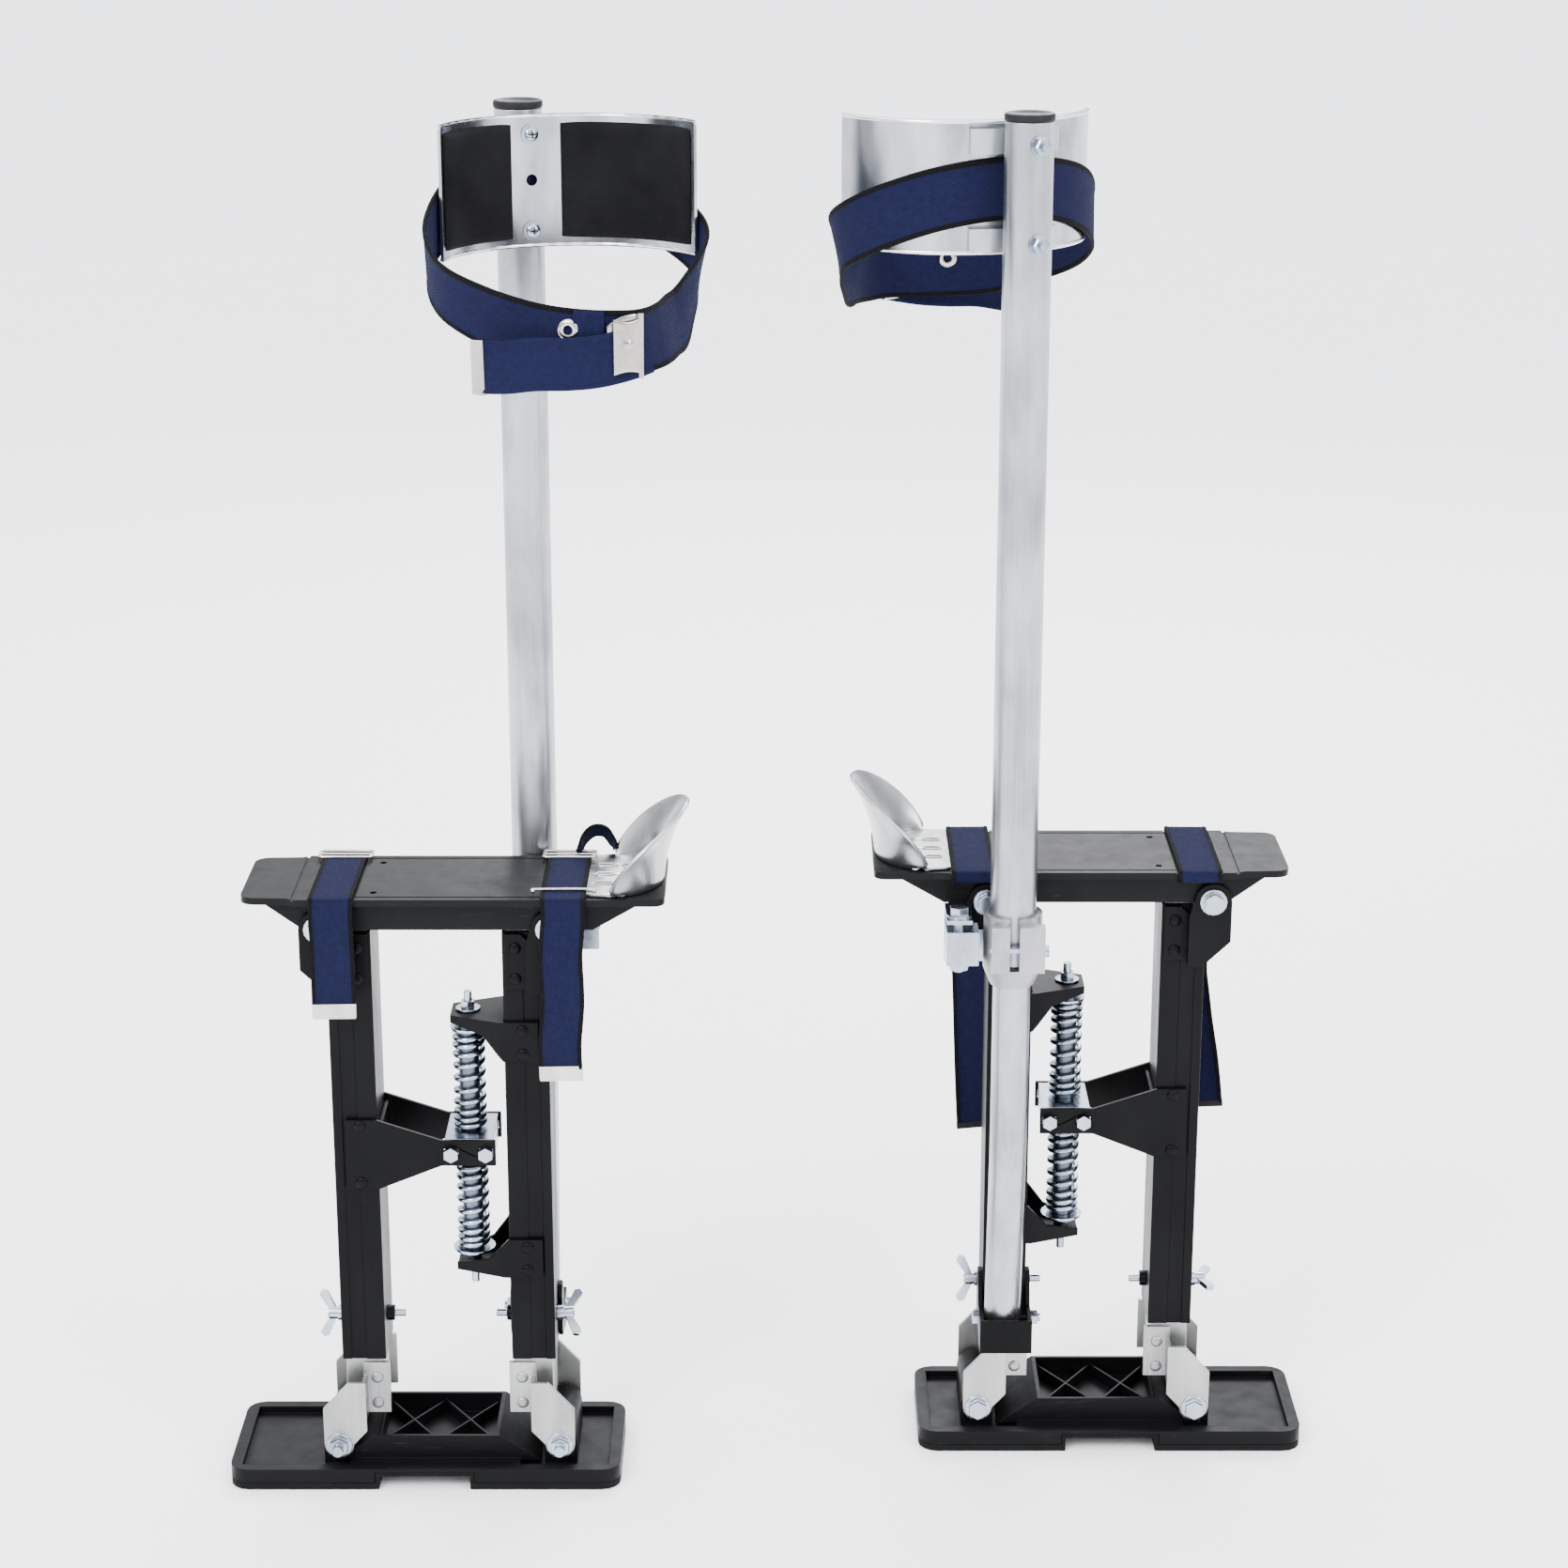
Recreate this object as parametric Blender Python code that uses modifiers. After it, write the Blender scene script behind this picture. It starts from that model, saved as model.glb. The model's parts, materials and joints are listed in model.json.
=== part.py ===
"""A pair of drywall stilts, each a sprung parallelogram leg with a telescopic calf pole.

Metres, +Z up. Each stilt is drawn in its own frame: toe towards +X, outer side towards -Y,
the ground at Z = 0 and X = 0 midway between the front and the rear pivots. The right stilt
stands at +X, and the left one is the same stilt turned half round the vertical axis.
"""

import math

import bmesh
import bpy
from mathutils import Matrix, Vector

# Where the two stilts stand
STILT_X = 0.237
STILT_Y = 0.030

# Parallelogram: pivots, uprights and inner legs
PIVOT_X = 0.0815
SOLE_PIVOT_Z = 0.029
TOP_PIVOT_Z = 0.432
PIVOT_R = 0.011
PIVOT_BOLT_R = 0.004
PIVOT_HOLE_R = 0.0044
PIVOT_WASHER_R = 0.0098
PIVOT_HEX_R = 0.0073
EAR_R = 0.0135
POST_X = 0.0625
POST_W = 0.032
POST_D = 0.050
POST_WALL = 0.002
FLUTE_IN = 0.0609
FLUTE_OUT = 0.0715
FLUTE_DEPTH = 0.0008
POST_LOW = 0.091
POST_HIGH = 0.425
GAP = 0.0003
LEG_LOW = 0.048
LEG_HIGH = 0.440
HOLE_LOW_Z = 0.117
HOLE_PITCH = 0.0508
HOLE_COUNT = 7
HOLE_R = 0.0035
YOKE_Y = 0.041
PLATE = 0.003

# Sole
SOLE_X = 0.018
SOLE_LENGTH = 0.288
SOLE_WIDTH = 0.110
SOLE_CORNER = 0.014
OUTSOLE_T = 0.005
SOLE_RIM_Z = 0.016
ARCH_HALF = 0.0368
ARCH_Z = 0.0135
DECK_Z = 0.034
DECK_HALF_Y = 0.036

# Foot plate and heel cup
FOOT_TOP = 0.457
FOOT_T = 0.005
FOOT_BACK = -0.163
FOOT_FRONT = 0.135
FOOT_HALF_Y = 0.050
SKIRT_HALF_Y = 0.036
SKIRT_LOW = 0.430
CUP_X = -0.125
CUP_REACH = 0.037
CUP_HALF_Y = 0.0465
CUP_HEIGHT = 0.056
CUP_FLARE = 0.017
CUP_T = 0.002

# Springs
SPRING_X = -0.019
SPRING_R = 0.0105
WIRE_R = 0.002
SPRING_TURNS = 10
BLOCK_Z = 0.2565
BLOCK_HALF_Z = 0.0095
BLOCK_HALF_X = 0.0175
BLOCK_BOLT_X = 0.0125
ROD_R = 0.003
ROD_LOW = 0.143
ROD_HIGH = 0.371
SEAT_LOW = 0.172
SEAT_HIGH = 0.343
BRACKET_LOW = 0.158
BRACKET_HIGH = 0.357
BRACKET_DEPTH = 0.030
BRACKET_Y = 0.0283

# Calf pole
POLE_X = -0.0645
POLE_Y = -0.070
POLE_R = 0.0165
POLE_BORE = 0.0143
POLE_LOW = 0.3985
POLE_HIGH = 0.989
STRUT_R = 0.0135
STRUT_FOOT_Y = -0.0405
STRUT_LOW = 0.0995
STRUT_BEND_Z = 0.250
STRUT_HIGH = 0.600
FOOT_BOLT_Z = 0.104
COLLAR_R = 0.021
COLLAR_LOW = 0.3815
COLLAR_HIGH = 0.435

# Calf band: an arc round the calf, bolted to the pole through two spacer tabs
BAND_TURN = math.radians(22)
BAND_R = 0.092
BAND_T = 0.002
BAND_STANDOFF = 0.009
BAND_LOW = 0.8975
BAND_HIGH = 0.9875
BAND_X = POLE_X - (POLE_R + BAND_STANDOFF + BAND_R) * math.sin(BAND_TURN)
BAND_Y = POLE_Y + (POLE_R + BAND_STANDOFF + BAND_R) * math.cos(BAND_TURN)
BAND_START = math.radians(-150)
BAND_END = math.radians(-10)
BAND_BOLT = BAND_TURN - math.pi / 2
STRAP_R = 0.0940
STRAP_T = 0.0022
STRAP_W = 0.042
STRAP_MID_Z = 0.895
STRAP_TILT = 0.047
BUCKLE_ANGLE = math.radians(118)

# Foot straps
TOE_STRAP_X = 0.070
ANKLE_STRAP_X = -0.092
FOOT_STRAP_W = 0.031
STRAP_CHANNEL = 0.0330


# Tools for drawing -------------------------------------------------------------------


def clear_scene():
    for old in list(bpy.data.objects):
        bpy.data.objects.remove(old)


def collection_named(name):
    made = bpy.data.collections.new(name)
    bpy.context.scene.collection.children.link(made)
    return made


def to_object(mesh, matrix=None):
    """A helper object that lives only while a shape is being put together."""
    if matrix is not None:
        mesh.transform(matrix)
    helper = bpy.data.objects.new("helper", mesh)
    helper.hide_render = True
    helper.display_type = "WIRE"
    CUTTERS.objects.link(helper)
    return helper


def from_bmesh(shape, matrix=None):
    mesh = bpy.data.meshes.new("helper")
    shape.to_mesh(mesh)
    shape.free()
    return to_object(mesh, matrix)


def box(low, high):
    low, high = Vector(low), Vector(high)
    shape = bmesh.new()
    bmesh.ops.create_cube(shape, size=1.0)
    bmesh.ops.scale(shape, vec=high - low, verts=shape.verts)
    return from_bmesh(shape, Matrix.Translation((low + high) / 2))


def rod(start, end, radius, sides=12, far_radius=None):
    start, end = Vector(start), Vector(end)
    along = end - start
    shape = bmesh.new()
    bmesh.ops.create_cone(
        shape,
        cap_ends=True,
        segments=sides,
        radius1=radius,
        radius2=radius if far_radius is None else far_radius,
        depth=along.length,
    )
    turn = along.to_track_quat("Z", "Y").to_matrix().to_4x4()
    return from_bmesh(shape, Matrix.Translation((start + end) / 2) @ turn)


def evaluated_mesh(made):
    bpy.context.view_layer.update()
    graph = bpy.context.evaluated_depsgraph_get()
    return bpy.data.meshes.new_from_object(made.evaluated_get(graph))


def welded(mesh):
    shape = bmesh.new()
    shape.from_mesh(mesh)
    bmesh.ops.remove_doubles(shape, verts=shape.verts, dist=1e-6)
    shape.to_mesh(mesh)
    shape.free()
    return mesh


def curve_to_object(curve, matrix=None):
    drawn = bpy.data.objects.new("helper_curve", curve)
    CUTTERS.objects.link(drawn)
    mesh = welded(evaluated_mesh(drawn))
    bpy.data.objects.remove(drawn)
    return to_object(mesh, matrix)


def slab(outline, thickness, matrix):
    """A flat outline in XY, as thick as said along Z and centred on it, moved by the matrix."""
    curve = bpy.data.curves.new("helper_outline", "CURVE")
    curve.dimensions = "2D"
    curve.fill_mode = "BOTH"
    curve.extrude = thickness / 2
    spline = curve.splines.new("POLY")
    spline.points.add(len(outline) - 1)
    for point, (x, y) in zip(spline.points, outline):
        point.co = (x, y, 0, 1)
    spline.use_cyclic_u = True
    return curve_to_object(curve, matrix)


def side_slab(outline, low_y, high_y):
    """An outline in X and Z, standing between two values of Y."""
    upright = Matrix.Translation((0, (low_y + high_y) / 2, 0)) @ Matrix.Rotation(math.pi / 2, 4, "X")
    return slab(outline, high_y - low_y, upright)


def flat_slab(outline, low_z, high_z):
    return slab(outline, high_z - low_z, Matrix.Translation((0, 0, (low_z + high_z) / 2)))


def wire(points, radius, sides=2):
    curve = bpy.data.curves.new("helper_wire", "CURVE")
    curve.dimensions = "3D"
    curve.bevel_depth = radius
    curve.bevel_resolution = sides
    curve.use_fill_caps = True
    spline = curve.splines.new("POLY")
    spline.points.add(len(points) - 1)
    for point, place in zip(spline.points, points):
        point.co = (*place, 1)
    return curve_to_object(curve)


def turned(profile, x, y, steps=24):
    """A closed profile of (radius, z) turned about the vertical line through x and y."""
    mesh = bpy.data.meshes.new("helper_profile")
    count = len(profile)
    mesh.from_pydata(
        [(radius, 0, z) for radius, z in profile],
        [(i, (i + 1) % count) for i in range(count)],
        [],
    )
    drawn = bpy.data.objects.new("helper_turned", mesh)
    CUTTERS.objects.link(drawn)
    screw = drawn.modifiers.new("Turn", "SCREW")
    screw.steps = steps
    screw.render_steps = steps
    screw.use_merge_vertices = True
    screw.merge_threshold = 1e-5
    turned_mesh = facing_out(evaluated_mesh(drawn))
    bpy.data.objects.remove(drawn)
    return to_object(turned_mesh, Matrix.Translation((x, y, 0)))


def facing_out(mesh):
    shape = bmesh.new()
    shape.from_mesh(mesh)
    bmesh.ops.recalc_face_normals(shape, faces=shape.faces)
    shape.to_mesh(mesh)
    shape.free()
    return mesh


def sheet(rows, thickness, closed=False):
    """A sheet through rows of points, made solid to both sides of its middle surface."""
    shape = bmesh.new()
    grid = [[shape.verts.new(point) for point in row] for row in rows]
    last = len(grid) if closed else len(grid) - 1
    for i in range(last):
        here, there = grid[i], grid[(i + 1) % len(grid)]
        for j in range(len(here) - 1):
            shape.faces.new((here[j], there[j], there[j + 1], here[j + 1]))
    bmesh.ops.recalc_face_normals(shape, faces=shape.faces)
    made = from_bmesh(shape)
    solidify = made.modifiers.new("Thickness", "SOLIDIFY")
    solidify.thickness = thickness
    solidify.offset = 0
    solidify.use_even_offset = True
    mesh = facing_out(evaluated_mesh(made))
    bpy.data.objects.remove(made)
    return to_object(mesh)


def combined(base, others, operation):
    for other in others:
        change = base.modifiers.new("Change", "BOOLEAN")
        change.operation = operation
        change.object = other
        change.solver = "EXACT"
    mesh = evaluated_mesh(base)
    for used in [base, *others]:
        bpy.data.objects.remove(used)
    return to_object(mesh)


def joined(base, *others):
    return combined(base, others, "UNION")


def cut(base, *others):
    return combined(base, others, "DIFFERENCE")


def arc(x, y, radius, start, end, count):
    """Points on an arc, both ends included, with the angles in degrees."""
    angles = [math.radians(start + (end - start) * i / (count - 1)) for i in range(count)]
    return [(x + radius * math.cos(a), y + radius * math.sin(a)) for a in angles]


def rounded_rectangle(low_x, high_x, half_y, radius, count=5):
    corners = (
        (high_x - radius, half_y - radius, 0),
        (low_x + radius, half_y - radius, 90),
        (low_x + radius, radius - half_y, 180),
        (high_x - radius, radius - half_y, 270),
    )
    return [p for x, y, start in corners for p in arc(x, y, radius, start, start + 90, count)]


def mirrored_x(outline, side):
    """An outline drawn for the front leg, turned over for the rear leg when side is -1."""
    return [(side * x, z) for x, z in outline]


def span(low, high, side):
    return (low, high) if side > 0 else (-high, -low)


# Sole --------------------------------------------------------------------------------


def sole_frame():
    back, front = SOLE_X - SOLE_LENGTH / 2, SOLE_X + SOLE_LENGTH / 2
    frame = flat_slab(
        rounded_rectangle(back, front, SOLE_WIDTH / 2, SOLE_CORNER),
        OUTSOLE_T + GAP,
        SOLE_RIM_Z,
    )
    rim = 0.009
    tray_floor = 0.0105
    frame = cut(
        frame,
        box((back + rim, rim - 0.055, tray_floor), (-0.052, 0.055 - rim, 0.03)),
        box((0.074, rim - 0.055, tray_floor), (front - rim, 0.055 - rim, 0.03)),
        box((SOLE_X - ARCH_HALF, -0.06, 0), (SOLE_X + ARCH_HALF, 0.06, ARCH_Z)),
    )
    deck = side_slab(
        [(-0.066, 0.0137), (-0.036, DECK_Z), (0.054, DECK_Z), (0.088, 0.0137)],
        -DECK_HALF_Y,
        DECK_HALF_Y,
    )
    lugs = [pivot_lug(side) for side in (1, -1)]
    frame = joined(frame, deck, *lugs)
    well = box((-0.033, -0.033, 0.019), (0.051, 0.033, 0.05))
    holes = [
        rod((side * PIVOT_X, -0.05, SOLE_PIVOT_Z), (side * PIVOT_X, 0.05, SOLE_PIVOT_Z), PIVOT_HOLE_R)
        for side in (1, -1)
    ]
    frame = cut(frame, well, *holes)
    return joined(frame, *cross_ribs(-0.033, 0.051, 0.033, 0.0185, 0.029))


def pivot_lug(side):
    outline = [(PIVOT_X - 0.012, 0.0095), (PIVOT_X + 0.012, 0.0095)]
    outline += arc(PIVOT_X, SOLE_PIVOT_Z, 0.012, 0, 180, 7)
    return side_slab(mirrored_x(outline, side), -0.0345, 0.0345)


def cross_ribs(low_x, high_x, half_y, low_z, high_z):
    """Two X braces side by side inside the well."""
    ribs = []
    run = (high_x - low_x) / 2
    for middle in (low_x + run / 2, high_x - run / 2):
        for side in (1, -1):
            lean = side * math.atan2(2 * half_y, run)
            length = math.hypot(run, 2 * half_y) + 0.0018
            rib = box((-length / 2, -0.0008, low_z), (length / 2, 0.0008, high_z))
            rib.data.transform(Matrix.Translation((middle, 0, 0)) @ Matrix.Rotation(lean, 4, "Z"))
            ribs.append(rib)
    return ribs


def outsole():
    back, front = SOLE_X - SOLE_LENGTH / 2, SOLE_X + SOLE_LENGTH / 2
    strip = 0.003
    inset = 0.0003
    pad = flat_slab(rounded_rectangle(back, front, SOLE_WIDTH / 2, SOLE_CORNER), 0, OUTSOLE_T)
    inner = ARCH_HALF - inset - strip
    pad = cut(pad, box((SOLE_X - inner, -0.06, -0.01), (SOLE_X + inner, 0.06, 0.01)))
    outer = ARCH_HALF - inset
    width = SOLE_WIDTH / 2 - 0.0005
    arch = box((SOLE_X - outer, -width, 0.0002), (SOLE_X + outer, width, ARCH_Z - inset))
    arch = cut(arch, box((SOLE_X - inner, -0.06, -0.01), (SOLE_X + inner, 0.06, ARCH_Z - inset - strip)))
    return joined(pad, arch)


# Legs --------------------------------------------------------------------------------


def pivot_bolt(x, z, thread):
    """A hex bolt along Y with its washers and nut: head on the outer side, nut on the inner."""
    y = YOKE_Y
    return joined(
        rod((x, -y - 0.001, z), (x, y + thread, z), PIVOT_BOLT_R),
        rod((x, -y - 0.0016, z), (x, -y + 0.0005, z), PIVOT_WASHER_R, 16),
        rod((x, y - 0.0005, z), (x, y + 0.0016, z), PIVOT_WASHER_R, 16),
        rod((x, -y - 0.0068, z), (x, -y - 0.001, z), PIVOT_HEX_R, 6),
        rod((x, y + 0.001, z), (x, y + 0.0065, z), PIVOT_HEX_R, 6),
    )


def ankle_plates(side):
    """The two cranked plates riveted to an inner leg, which carry its pivot on the sole."""
    parts = []
    foot = [(0.0605, 0.079), (0.0735, 0.079), (PIVOT_X + PIVOT_R, 0.058)]
    foot += arc(PIVOT_X, SOLE_PIVOT_Z, PIVOT_R, 0, -180, 9)
    foot += [(0.0605, 0.040)]
    for facing in (-1, 1):
        low, high = sorted((facing * (YOKE_Y - PLATE), facing * YOKE_Y))
        parts.append(side_slab(mirrored_x(foot, side), low, high))
        inner = 0.5 * POST_D - POST_WALL - GAP
        low, high = sorted((facing * (inner - 0.001), facing * (inner + PLATE)))
        flange = [(0.0440, LEG_LOW), (0.0635, LEG_LOW), (0.0635, 0.0885), (0.0440, 0.0885)]
        parts.append(side_slab(mirrored_x(flange, side), low, high))
        low, high = sorted((facing * (inner + 0.0002), facing * (YOKE_Y - 0.0002)))
        low_x, high_x = span(0.0605, 0.0635, side)
        parts.append(box((low_x, low, LEG_LOW), (high_x, high, 0.0785)))
    return parts


def inner_leg(side):
    half_w = POST_W / 2 - POST_WALL - GAP
    half_d = POST_D / 2 - POST_WALL - GAP
    x = side * POST_X
    leg = box((x - half_w, -half_d, LEG_LOW), (x + half_w, half_d, LEG_HIGH))
    leg = joined(leg, *ankle_plates(side), pivot_bolt(side * PIVOT_X, SOLE_PIVOT_Z, 0.0125))
    bore_w, bore_d = half_w - POST_WALL, half_d - POST_WALL
    holes = [
        rod(
            (x - 0.02, 0, HOLE_LOW_Z + HOLE_PITCH * i),
            (x + 0.02, 0, HOLE_LOW_Z + HOLE_PITCH * i),
            HOLE_R,
            8,
        )
        for i in range(HOLE_COUNT)
    ]
    hollow = box((x - bore_w, -bore_d, LEG_LOW - 0.01), (x + bore_w, bore_d, LEG_HIGH + 0.01))
    return cut(leg, hollow, *holes)


def upright(side):
    """The fluted black outer tube, with the bush and thread end of its wing bolt on the inner face."""
    x = side * POST_X
    half_w, half_d = POST_W / 2, POST_D / 2
    post = box((x - half_w, -half_d, POST_LOW), (x + half_w, half_d, POST_HIGH))
    inner_face = x - side * half_w
    post = joined(
        post,
        rod((inner_face + side * 0.001, 0, HOLE_LOW_Z), (inner_face - side * 0.005, 0, HOLE_LOW_Z), 0.0058),
        rod((inner_face + side * 0.001, 0, HOLE_LOW_Z), (inner_face - side * 0.013, 0, HOLE_LOW_Z), 0.003, 8),
    )
    outer_face = x + side * half_w
    low_x, high_x = span(FLUTE_IN, FLUTE_OUT, side)
    flutes = [
        box((low_x, y - FLUTE_DEPTH, POST_LOW - 0.01), (high_x, y + FLUTE_DEPTH, POST_HIGH + 0.01))
        for y in (-half_d, half_d)
    ]
    return cut(
        post,
        *flutes,
        box(
            (x - half_w + POST_WALL, -half_d + POST_WALL, POST_LOW - 0.01),
            (x + half_w - POST_WALL, half_d - POST_WALL, POST_HIGH + 0.01),
        ),
        rod((outer_face - side * 0.004, 0, HOLE_LOW_Z), (outer_face + side * 0.004, 0, HOLE_LOW_Z), HOLE_R, 12),
    )


def wing_bolt(side):
    """The clamp bolt's head end: bush, collar and two wings, with a stub through the outer wall."""
    face = side * (POST_X + POST_W / 2)
    z = HOLE_LOW_Z

    def along(start, end, radius, sides):
        return rod((face + side * start, 0, z), (face + side * end, 0, z), radius, sides)

    parts = [
        along(-POST_WALL, 0.013, 0.003, 10),
        along(GAP, 0.005, 0.0058, 12),
        along(0.0045, 0.012, 0.0048, 12),
    ]
    wing = [(0.006, 0.0020), (0.0115, 0.0035), (0.0185, 0.0150), (0.0165, 0.0185)]
    wing += [(0.0125, 0.0180), (0.0075, 0.0060)]
    for up in (1, -1):
        outline = [(face + side * x, z + up * height) for x, height in wing]
        parts.append(side_slab(outline, -0.0019, 0.0019))
    return joined(parts[0], *parts[1:])


def top_bracket(side):
    """The pair of cranked plates at the top of an upright, with the foot plate's pivot bolt."""
    parts = []
    low_z = 0.3825
    ear = [(0.0645, low_z), (0.0750, low_z), (PIVOT_X + EAR_R, low_z + 0.0190)]
    ear += arc(PIVOT_X, TOP_PIVOT_Z, EAR_R, 0, 150, 9)
    ear += [(0.0645, 0.420)]
    flange = [(0.0485, low_z), (0.0675, low_z), (0.0675, 0.4165), (0.0600, 0.424), (0.0485, 0.424)]
    for facing in (-1, 1):
        low, high = sorted((facing * (YOKE_Y - PLATE), facing * YOKE_Y))
        parts.append(side_slab(mirrored_x(ear, side), low, high))
        inner = POST_D / 2 + GAP
        low, high = sorted((facing * inner, facing * (inner + PLATE)))
        parts.append(side_slab(mirrored_x(flange, side), low, high))
        low, high = sorted((facing * (inner + 0.0003), facing * (YOKE_Y - 0.0003)))
        low_x, high_x = span(0.0645, 0.0675, side)
        parts.append(box((low_x, low, low_z + 0.0003), (high_x, high, 0.4162)))
    return joined(pivot_bolt(side * PIVOT_X, TOP_PIVOT_Z, 0.0080), *parts)


# Foot plate --------------------------------------------------------------------------


def foot_plate():
    top_low = FOOT_TOP - FOOT_T
    deck = flat_slab(foot_plate_outline(), top_low, FOOT_TOP)
    skirt = side_slab(
        [(-0.152, top_low + 0.001), (-0.112, SKIRT_LOW), (0.092, SKIRT_LOW), (0.124, top_low + 0.001)],
        -SKIRT_HALF_Y,
        SKIRT_HALF_Y,
    )
    skirt = cut(
        skirt,
        box((-0.1085, PLATE - SKIRT_HALF_Y, 0.40), (0.0985, SKIRT_HALF_Y - PLATE, top_low + 0.0003)),
    )
    lugs = []
    for side in (1, -1):
        outline = [(PIVOT_X + 0.012, top_low + 0.0008), (PIVOT_X - 0.012, top_low + 0.0008)]
        outline += arc(PIVOT_X, TOP_PIVOT_Z, 0.012, 180, 360, 7)
        for low, high in ((-SKIRT_HALF_Y - 0.0004, -0.030), (0.030, SKIRT_HALF_Y + 0.0004)):
            lugs.append(side_slab(mirrored_x(outline, side), low, high))
    plate = joined(deck, skirt, *lugs)
    holes = [
        rod((side * PIVOT_X, -0.05, TOP_PIVOT_Z), (side * PIVOT_X, 0.05, TOP_PIVOT_Z), PIVOT_HOLE_R)
        for side in (1, -1)
    ]
    screws = [rod((0.042, y, 0.44), (0.042, y, 0.47), 0.0025, 10) for y in (-0.0335, 0.0335)]
    grooves = [
        box((-0.100, y - 0.0009, FOOT_TOP - 0.0008), (0.086, y + 0.0009, FOOT_TOP + 0.01))
        for y in (-0.0435, 0.0435)
    ]
    channels = [
        box((x - half, -0.06, FOOT_TOP - 0.0010), (x + half, 0.06, FOOT_TOP + 0.01))
        for x, half in ((TOE_STRAP_X, STRAP_CHANNEL / 2), (ANKLE_STRAP_X, STRAP_CHANNEL / 2))
    ]
    step = box((0.0965, -0.06, FOOT_TOP - 0.0012), (0.0985, 0.06, FOOT_TOP + 0.01))
    return cut(plate, *holes, *screws, *grooves, *channels, step)


def foot_plate_outline():
    toe_half_y = 0.0455
    toe_corner = 0.010
    toe = arc(FOOT_FRONT - toe_corner, toe_half_y - toe_corner, toe_corner, 90, 0, 5)
    heel = arc(FOOT_BACK + 0.008, FOOT_HALF_Y - 0.008, 0.008, 180, 90, 5)
    upper = heel + [(0.095, FOOT_HALF_Y), (0.102, toe_half_y + 0.001)] + toe
    return upper + [(x, -y) for x, y in reversed(upper)]


def heel_cup():
    """Base plate and back wall in one bent sheet, open towards the toe."""
    rows = []
    steps = 14
    middle_z = FOOT_TOP + 0.0010 + CUP_T / 2
    for i in range(steps + 1):
        angle = math.radians(-90 + 180 * i / steps)
        out = Vector((-math.cos(angle), math.sin(angle), 0))
        foot = Vector((CUP_X + out.x * CUP_REACH, out.y * CUP_HALF_Y, middle_z))
        front = Vector((-0.108, 0.94 * foot.y, middle_z))
        height = 0.004 + (CUP_HEIGHT - 0.004) * math.cos(angle) ** 0.8
        flare = 0.002 + (CUP_FLARE - 0.002) * math.cos(angle)
        row = [front, front.lerp(foot, 0.5), foot]
        for share in (0.35, 0.7, 1.0):
            row.append(foot + out * flare * share**2 + Vector((0, 0, height * share)))
        rows.append(row)
    cup = sheet(rows, CUP_T)
    slots = [
        box((x - 0.005, y - 0.0018, 0.45), (x + 0.005, y + 0.0018, 0.465))
        for x, y in ((-0.120, -0.018), (-0.120, 0.018), (-0.138, -0.018), (-0.138, 0.018), (-0.138, 0.0))
    ]
    return cut(cup, *slots)


# Springs -----------------------------------------------------------------------------


def spring(low_z, high_z):
    start = low_z + WIRE_R + GAP
    rise = high_z - low_z - 2 * (WIRE_R + GAP)
    per_turn = 9
    count = SPRING_TURNS * per_turn
    points = []
    for i in range(count + 1):
        share = i / count
        closed_ends = share - 0.35 * math.sin(2 * math.pi * share) / (2 * math.pi)
        angle = 2 * math.pi * SPRING_TURNS * share
        points.append(
            (
                SPRING_X + SPRING_R * math.cos(angle),
                SPRING_R * math.sin(angle),
                start + rise * closed_ends,
            )
        )
    return wire(points, WIRE_R, 0)


def spring_rod():
    """The guide rod with its two spring seats and the nuts that hold it in its brackets."""
    x = SPRING_X

    def ring(low, high, radius, sides):
        return rod((x, 0, low), (x, 0, high), radius, sides)

    top, bottom = BRACKET_HIGH, BRACKET_LOW
    return joined(
        ring(ROD_LOW, ROD_HIGH, ROD_R, 10),
        ring(SEAT_HIGH, SEAT_HIGH + 0.002, 0.0135, 16),
        ring(SEAT_HIGH + 0.0015, top - PLATE - GAP, 0.006, 6),
        ring(top + GAP, top + 0.0018, 0.009, 16),
        ring(top + 0.0012, top + 0.007, 0.0055, 6),
        ring(SEAT_LOW - 0.002, SEAT_LOW, 0.0155, 16),
        ring(bottom + PLATE + GAP, SEAT_LOW - 0.0015, 0.006, 6),
        ring(bottom - 0.006, bottom - GAP, 0.0055, 6),
    )


def spring_block():
    """The block between the springs, with the two bolts that hold it in the centre bracket."""
    half_y = POST_D / 2 - GAP
    block = box(
        (SPRING_X - BLOCK_HALF_X, -half_y, BLOCK_Z - BLOCK_HALF_Z),
        (SPRING_X + BLOCK_HALF_X, half_y, BLOCK_Z + BLOCK_HALF_Z),
    )
    bolts = []
    reach = BRACKET_Y + GAP
    for x in (SPRING_X - BLOCK_BOLT_X, SPRING_X + BLOCK_BOLT_X):
        bolts.append(rod((x, -reach - 0.001, BLOCK_Z), (x, reach + 0.001, BLOCK_Z), 0.003, 10))
        bolts.append(rod((x, -reach - 0.0045, BLOCK_Z), (x, -reach, BLOCK_Z), 0.0058, 6))
        bolts.append(rod((x, reach, BLOCK_Z), (x, reach + 0.0050, BLOCK_Z), 0.0058, 6))
    block = joined(block, *bolts)
    return cut(block, rod((SPRING_X, 0, 0.2), (SPRING_X, 0, 0.3), ROD_R + 0.0004, 12))


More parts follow.
